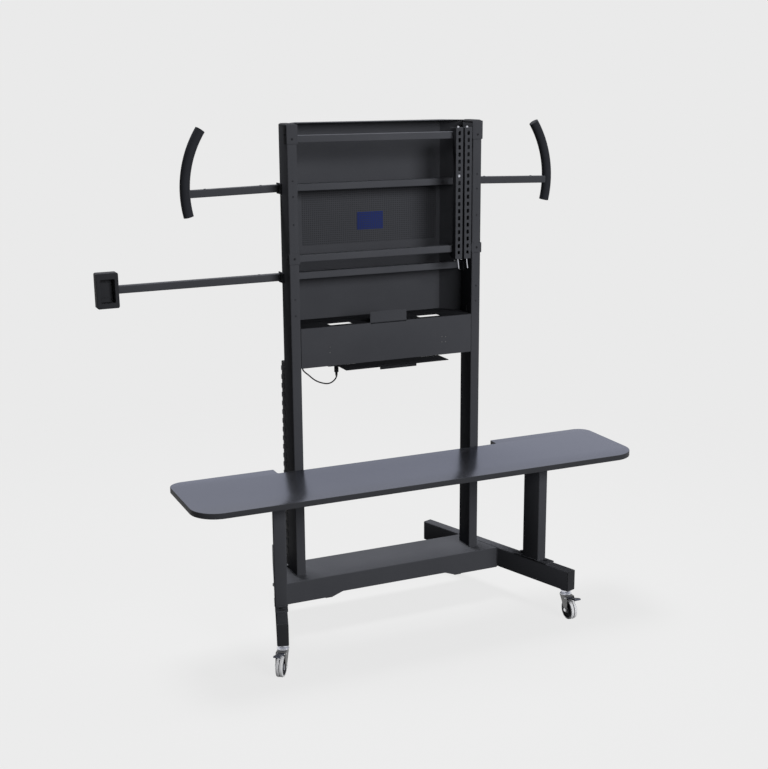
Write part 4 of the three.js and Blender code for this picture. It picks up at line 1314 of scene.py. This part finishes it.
def add_bracket(name, x):
    front = -bracket_depth - gap
    back = -gap - run_gap
    inside = front + bracket_wall
    behind = rail_size + run_gap
    hooked, hook_foot = top_rail_top + 0.0005, top_rail_top - hook_drop
    latched = low_rail_top - rail_size - 0.0005
    side_outline = eased(
        [
            (front, bracket_bottom),
            (back, bracket_bottom),
            (latch_depth, latched - latch_lip),
            (latch_depth, latched),
            (back, latched),
            (back, hooked),
            (behind, hooked),
            (behind, hook_foot),
            (behind + hook_thick, hook_foot),
            (behind + hook_thick, bracket_top - 0.008),
            (behind - 0.004, bracket_top),
            (front, bracket_top),
        ],
        0.0008,
        2,
    )
    half = bracket_width / 2
    across, between = (-half, half), (-half + 0.001, half - 0.001)
    loops = [box_loop(across, (bracket_bottom, bracket_top), 0.001)]
    for i in range(slot_count):
        rows = about(slot_first - i * slot_pitch, slot_height)
        loops.append(box_loop(about(0, slot_width), rows, 0.003, 4))
    face = frontal(loops, (front, inside), broad_edge, 2)
    cheek_spans = ((-half, bracket_wall - half), (half - bracket_wall, half))
    cheeks = [sideways([side_outline], span, soft_edge, 2) for span in cheek_spans]
    bridge_span = [bracket_top + height for height in bridge_heights]
    boss_span = [bracket_bottom + height for height in boss_heights]
    bridge = rounded_block(between, (front + 0.001, front + 0.022), bridge_span, 0.0005)
    boss = rounded_block(between, (front + 0.001, front + 0.016), boss_span, 0.001)
    shapes = {coat: [face, *cheeks, bridge, boss]}
    if name == "left":
        shapes[zinc] = stud_shapes(front, slot_first - stud_slot * slot_pitch)
    body = f"{name}_display_bracket"
    node = f"{name}_bracket"
    piece(f"{name}_bracket_channel", shapes, node, body, at(x, 0, 0))
    lean = at(x, inside + 0.007, boss_span[0], turn(pull_lean, "X"))
    pull = [
        rod(pull_radius, (pull_bottom, pull_top), 20),
        rod(pull_knob_radius, (pull_bottom, pull_bottom + 0.004), 24, 0.0012),
    ]
    piece(f"{name}_pull_rod", {pull_steel: pull}, f"{node}_rod", body, lean)
    knob = [(0, 0), (0.0038, 0), (0.0038, 0.0105), (0.0032, 0.0122), (0.002, 0.0125), (0.002, 0.0105)]
    lock = [rod(0.0025, (-0.008, 0.002), 20), turned([*knob, (0, 0.0105)], 28)]
    seat = at(x, inside + 0.01, bracket_top - 0.007)
    piece(f"{name}_lock_screw", {pull_steel: lock}, f"{node}_screw", body, seat)


def stud_shapes(front, height):
    """A small stud left in one slot, with the nut behind it."""
    inside = front + bracket_wall
    width, thick, tall = stud_nut
    shank = moved(rod(0.002, (-0.001, bracket_wall + thick), 16), at(0, front, height, towards_back))
    nut = rounded_block(about(0, width), (inside, inside + thick), about(height, tall), 0.0006, 1)
    return [shank, nut, screw(stud_head, at(0, front + 0.0008, height, towards_front))]


for name, _ in both_sides:
    add_bracket(name, sum(spans(f"{name}_bracket")[0]) / 2)


# Sliding arms with their grips and the control box

rail_middle_y = column_depth + gap + rail_size / 2
arm_wall = 0.002
handle_insert = 0.17
handle_screws = (0.06, handle_reach - 0.075)
grip_steps = 40
control_insert = 0.32
control_screw = 0.075
box_width, box_height, box_depth = 0.075, 0.12, 0.04
pocket_width, pocket_height, pocket_depth = 0.049, 0.08, 0.028
pocket_middle = -0.0015
pocket_ribs = (-0.026, 0.027)
pocket_posts = (-0.031, 0.032)


def arm_shapes(reach, droop, insert, screws):
    """A square sleeve that droops slightly and the straight insert that slides in the rail."""
    square = about(0, arm_size)
    plug_square = about(0, arm_size - 0.003)
    insert_square = about(0, rail_size - 2 * rail_wall - 0.001)
    sleeve = sideways(ring(square, square, arm_wall, 0.0025), (0, reach - sleeve_start), tube_edge)
    plug = side_plate(plug_square, plug_square, (0, 0.012), 0.001, plate_edge)
    tail_span = (sleeve_start - insert, sleeve_start + 0.003)
    tail = sideways(ring(insert_square, insert_square, arm_wall, 0.0015), tail_span, sharp_edge)
    tilt = at(sleeve_start, 0, 0, turn(droop, "Y"))
    heads = [screw(arm_screw, tilt @ at(x, 0, arm_size / 2)) for x in screws]
    return [moved(sleeve, tilt), moved(plug, tilt), tail, *heads], tilt


def grip_point(angle):
    return (grip_bow * (cos(angle) - 1), 0, grip_bow * sin(angle))


def grip_shapes():
    """The sleeve along its arc and the flat cap in each of its ends."""
    sweep = grip_above + grip_below
    line = [grip_point(-grip_below + sweep * i / grip_steps) for i in range(grip_steps + 1)]
    ends = []
    for angle, out in ((-grip_below, -1), (grip_above, 1)):
        disc = [(0, 0.0), (grip_radius - 0.004, 0.0), (grip_radius - 0.0035, out * 0.0008)]
        disc += [(grip_radius - 0.006, out * 0.001), (0, out * 0.001)]
        ends.append(moved(turned(disc, 40), at(*grip_point(angle), turn(-angle, "Y"))))
    return swept(line, grip_radius, 7), ends


def add_handle(name, side):
    facing = turn(0 if side > 0 else pi, "Z")
    where = at(side * column_half, rail_middle_y, upper_rear_top - rail_size / 2, facing)
    body = f"{name}_handle"
    sleeve_reach = handle_reach - grip_radius + 0.006
    shapes, tilt = arm_shapes(sleeve_reach, handle_droop, handle_insert, handle_screws)
    piece(f"{name}_arm_tube", {coat: shapes}, f"{name}_handle_arm", body, where)
    grip, ends = grip_shapes()
    at_end = tilt @ at(handle_reach - sleeve_start, 0, 0)
    shapes = {sleeve_foam: [moved(grip, at_end)], plastic: [moved(end, at_end) for end in ends]}
    piece(f"{name}_grip_sleeve", shapes, f"{name}_grip", body, where)


def add_control():
    where = at(-column_half, rail_middle_y, lower_rear_top - rail_size / 2, half_round)
    shapes, tilt = arm_shapes(control_reach, control_droop, control_insert, [control_screw])
    piece("control_arm_tube", {coat: shapes}, "control_arm", "control", where)
    near = box_depth / 2
    floor_y = near - pocket_depth
    pocket_x = about(box_width / 2, pocket_width)
    outline = box_loop((0, box_width), about(0, box_height), 0.006, 8)
    pocket = box_loop(pocket_x, about(pocket_middle, pocket_height), 0.003)
    rim = frontal([outline, pocket], (floor_y - 0.002, near), 0.0018, 3)
    back = frontal([outline], (-near, floor_y), 0.0015, 3)
    low, high = pocket_x
    rib_span, rib_depths = (low + 0.001, high - 0.001), (floor_y - 0.001, floor_y + 0.002)
    ribs = [rounded_block(rib_span, rib_depths, about(z, 0.0016), 0.0004, 1) for z in pocket_ribs]
    posts = [
        moved(rod(0.0028, (-0.004, 0.0), 18), at(x, floor_y, z, towards_front))
        for x in (low + 0.006, high - 0.006)
        for z in pocket_posts
    ]
    at_end = tilt @ at(control_reach - sleeve_start, 0, 0)
    box = [moved(shape, at_end) for shape in (rim, back, *ribs, *posts)]
    piece("control_case", {plastic: box}, "control_box", "control", where)


for name, side in both_sides:
    add_handle(name, side)
add_control()


# Cable chain down the left column's back

chain_extra = 0.003
link_pitch = 0.0165
link_plate = 0.0022
link_lap = 0.003
link_gap = 0.0012
link_bar = (0.004, 0.0105)
link_pin = 0.0028
link_pin_rise = 0.0006
link_pin_drop = 0.007


def add_chain():
    (left, right), (near, far), (foot, top) = spans("cable_chain")
    far += chain_extra
    middle = (near + far) / 2
    count = round((top - foot) / link_pitch)
    pitch = (top - foot) / count
    shapes = []
    for i in range(count):
        z = foot + i * pitch
        lap = link_lap if i else 0.0
        inset = link_plate * (i % 2)
        low, high = left + inset, right - inset
        outline = box_loop((near, far - 0.0005), (z - lap, z + pitch - link_gap), 0.003, 4)
        for x in (low, high - link_plate):
            shapes.append(sideways([outline], (x, x + link_plate), plate_edge))
        bar_heights = [z + height for height in link_bar]
        bar = rounded_block((low + 0.001, high - 0.001), (far - 0.0025, far), bar_heights, 0.0007, 1)
        shapes.append(bar)
        for x, out in ((low, -1), (high, 1)):
            place = at(x - out * gap, middle, z + pitch - link_pin_drop, outwards(out))
            shapes.append(moved(rod(link_pin, (0, link_pin_rise), 16), place))
    inner = (left + 0.003, right - 0.003)
    core = rounded_block(inner, (near, far - 0.002), (foot, top), 0.0006, 1)
    sheath = rounded_block(inner, (near, far - 0.0002), (foot, shelf_bottom), 0.0006, 1)
    head = screw(clamp_screw, at(left + 0.001, middle, foot + 0.009, outwards(-1)))
    finishes = {plastic: [*shapes, core, sheath], zinc: [head]}
    piece("chain_links", finishes, "cable_chain")


add_chain()


# Power outlet

outlet_split = 0.008
outlet_pins = (-0.222, -0.214, -0.182)


def add_outlet():
    xs, ys, (low, high) = spans("power_outlet")
    plan = box_loop(xs, ys, 0.004)
    openings = [round_loop(plug_x, lead_y, 0.0068, 24)]
    openings += [box_loop(about(x, 0.0022), about(0.021, 0.0075), 0.0005, 2) for x in outlet_pins]
    foot = flat([plan, *openings], (low, low + outlet_split), 0.0008, 2)
    case = flat([plan], (low + outlet_split - 0.0005, high), 0.002, 3)
    piece("outlet_case", {plastic: [foot, case]}, "power_outlet")


add_outlet()


# Casters

neck = fork_top + 0.006
pin_foot = fork_top - 0.0065
fork_foot_radius = 0.01
fork_crown = (-0.031, 0.017)
fork_waist = 0.45  # share of the fork's height
fork_blank = (-0.08, 0.03)
fork_bend = 0.005
fork_blend = 0.004
bolt_reach = fork_half + gap
pedal_length = 0.06
pedal_level = 0.01
pedal_thick = 0.004
pedal_width = 0.022
pedal_tip_length = 0.008
pedal_tip_width = 0.026
pedal_tip_heights = (0.091, 0.097)
hinge_radius = 0.0025
rim_edge = 0.031
seam_radius = 0.032


def caster_place(corner):
    """The kingpin's place, turned as the wheel trails at rest."""
    kingpin = Vector(joints[f"{corner}_caster_swivel"]["pos_m"])
    trail = Vector(joints[f"{corner}_wheel_spin"]["pos_m"]) - kingpin
    yaw = atan2(trail.x, -trail.y)
    return stand_place.inverted() @ at(kingpin.x, kingpin.y, 0, turn(yaw, "Z"))


def fork_shape():
    waist = (fork_top - wheel_radius) * fork_waist
    outline = [
        (fork_crown[1], fork_top),
        (fork_crown[0], fork_top),
        (-caster_trail - fork_foot_radius, wheel_radius + waist),
        *arc(-caster_trail, wheel_radius, fork_foot_radius, pi, 2 * pi, 12),
        (0.0, fork_top - waist),
    ]
    line = [(fork_half, 0.0), (fork_half, fork_top), (-fork_half, fork_top), (-fork_half, 0.0)]
    bent = frontal([sheet_loop(line, fork_sheet, fork_bend)], fork_blank, tube_edge)
    sides = sideways([eased(outline, fork_blend, 3)], (-0.03, 0.03), tube_edge)
    return carve(bent, sides, keep=True)


def add_caster(corner):
    where = caster_place(corner)
    head = [(0, neck + 0.0005), (0.015, neck + 0.0005), (0.0185, neck + 0.003)]
    head += [(0.0205, leg_bottom - 0.0042), (0.0205, leg_bottom - 0.0008)]
    head += [(0.0198, leg_bottom - gap), (0, leg_bottom - gap)]
    pin = [(0, pin_foot), (0.0075, pin_foot), (0.008, pin_foot + 0.0005), (0.008, pin_foot + 0.003)]
    pin += [(0.005, pin_foot + 0.0033), (0.005, neck + 0.001), (0, neck + 0.001)]
    shapes = {zinc: [turned(head, 48), turned(pin, 28)]}
    piece(f"{corner}_caster_top", shapes, f"{corner}_caster_head", where=where)
    raceway = [(0.0055, fork_top - 0.001), (0.0215, fork_top - 0.0005), (0.0215, fork_top + 0.001)]
    raceway += [(0.0207, fork_top + 0.0018), (0.0168, fork_top + 0.0052), (0.0145, neck)]
    raceway += [(0.0055, neck), raceway[0]]
    swivel = f"{corner}_swivel"
    shapes = {dull_zinc: [fork_shape()], zinc: [turned(raceway, 48)]}
    piece(f"{corner}_caster_yoke", shapes, f"{corner}_caster_fork", swivel, where)
    hub_at = where @ at(0, -caster_trail, wheel_radius, along_x)
    axle = [rod(0.004, (-bolt_reach, bolt_reach), 20)]
    for end in (Matrix.Identity(4), upside_down):
        seat = end @ at(0, 0, bolt_reach)
        axle.append(moved(rod(0.0068, (0, 0.0008), 32, 0.0002), seat))
        axle.append(moved(hexagon_nut(0.0066, 0.0028), seat @ at(0, 0, 0.0008)))
        axle.append(moved(rod(0.0034, (0.003, 0.004), 20), seat))
    finish = chrome if corner.startswith("front") else dull_zinc
    piece(f"{corner}_caster_bolt", {finish: axle}, f"{corner}_caster_axle", swivel, hub_at)
    add_wheel(corner, hub_at)
    add_pedal(corner, where)


def add_wheel(corner, hub_at):
    """A tyre with a fine seam round its middle on a dark rim with a light boss."""
    half = wheel_width / 2
    side = [
        (rim_edge, -half),
        (wheel_radius - 0.003, -half),
        (wheel_radius - 0.0012, -half + 0.0006),
        (wheel_radius - 0.0003, -half + 0.0022),
        (wheel_radius, -half + 0.005),
        (wheel_radius, -0.0016),
        (wheel_radius - 0.0018, -0.0013),
    ]
    rim = [
        (rim_edge + 0.0002, -half + 0.0005),
        (rim_edge - 0.0015, -half + 0.0007),
        (rim_edge - 0.003, -half + 0.0024),
        (0.017, -half + 0.003),
        (0.0135, -half + 0.0005),
    ]
    boss = [(0.0137, -half + 0.0007), (0.0118, -half - 0.0004), (0.0112, -0.0129), (0.0045, -0.013)]
    seam = turned(box_loop((seam_radius, wheel_radius - 0.0014), (-0.0013, 0.0013)), 72)
    spoke_span, spoke_reach = (0.0145, rim_edge - 0.002), (-half + 0.0016, half - 0.0016)
    spokes = []
    for k in range(6):
        spoke = rounded_block(spoke_span, about(0, 0.002), spoke_reach, 0.0006, 1)
        spokes.append(moved(spoke, turn(k * pi / 3, "Z")))
    tread, dish, hub = mirrored_ring(side, 72), mirrored_ring(rim, 56), mirrored_ring(boss, 40)
    shapes = {rubber: [tread], plastic: [dish, seam, *spokes], hub_plastic: [hub]}
    node = f"{corner}_caster_wheel"
    piece(f"{corner}_caster_tyre", shapes, node, f"{corner}_wheel", hub_at)


def add_pedal(corner, where):
    root = -pedal_pin_back
    tip = root - pedal_length
    level, rise = root - pedal_level, tip + pedal_tip_length
    low, high = pedal_tip_heights
    under, over = pedal_pin_height - hinge_radius, pedal_pin_height + hinge_radius
    profile = [(root + 0.004, under), (root + 0.004, over), (level, over), (rise, high), (tip, high)]
    profile += [(tip, low), (rise, low), (level, over - pedal_thick), (root, under)]
    lever = sideways([eased(profile, 0.004, 3)], about(0, pedal_width), 0.0012, 3)
    bar = rounded_block(about(0, pedal_tip_width), (tip, rise), pedal_tip_heights, 0.0016, 3)
    grips = []
    for k in range(3):
        line = about(tip + 0.002 + 0.002 * k, 0.0009)
        grips.append(rounded_block(about(0, 0.02), line, (high - 0.0008, high + 0.0002), 0.0003, 1))
    hinge_span = about(0, 2 * fork_half + 0.0012)
    hinge = moved(rod(hinge_radius, hinge_span), at(0, root, pedal_pin_height, along_x))
    shapes = {pedal_plastic: [lever, bar, *grips], zinc: [hinge]}
    node = f"{corner}_caster_pedal"
    piece(f"{corner}_brake_lever", shapes, node, f"{corner}_brake", where)


for corner in ("front_left", "front_right", "rear_left", "rear_right"):
    add_caster(corner)
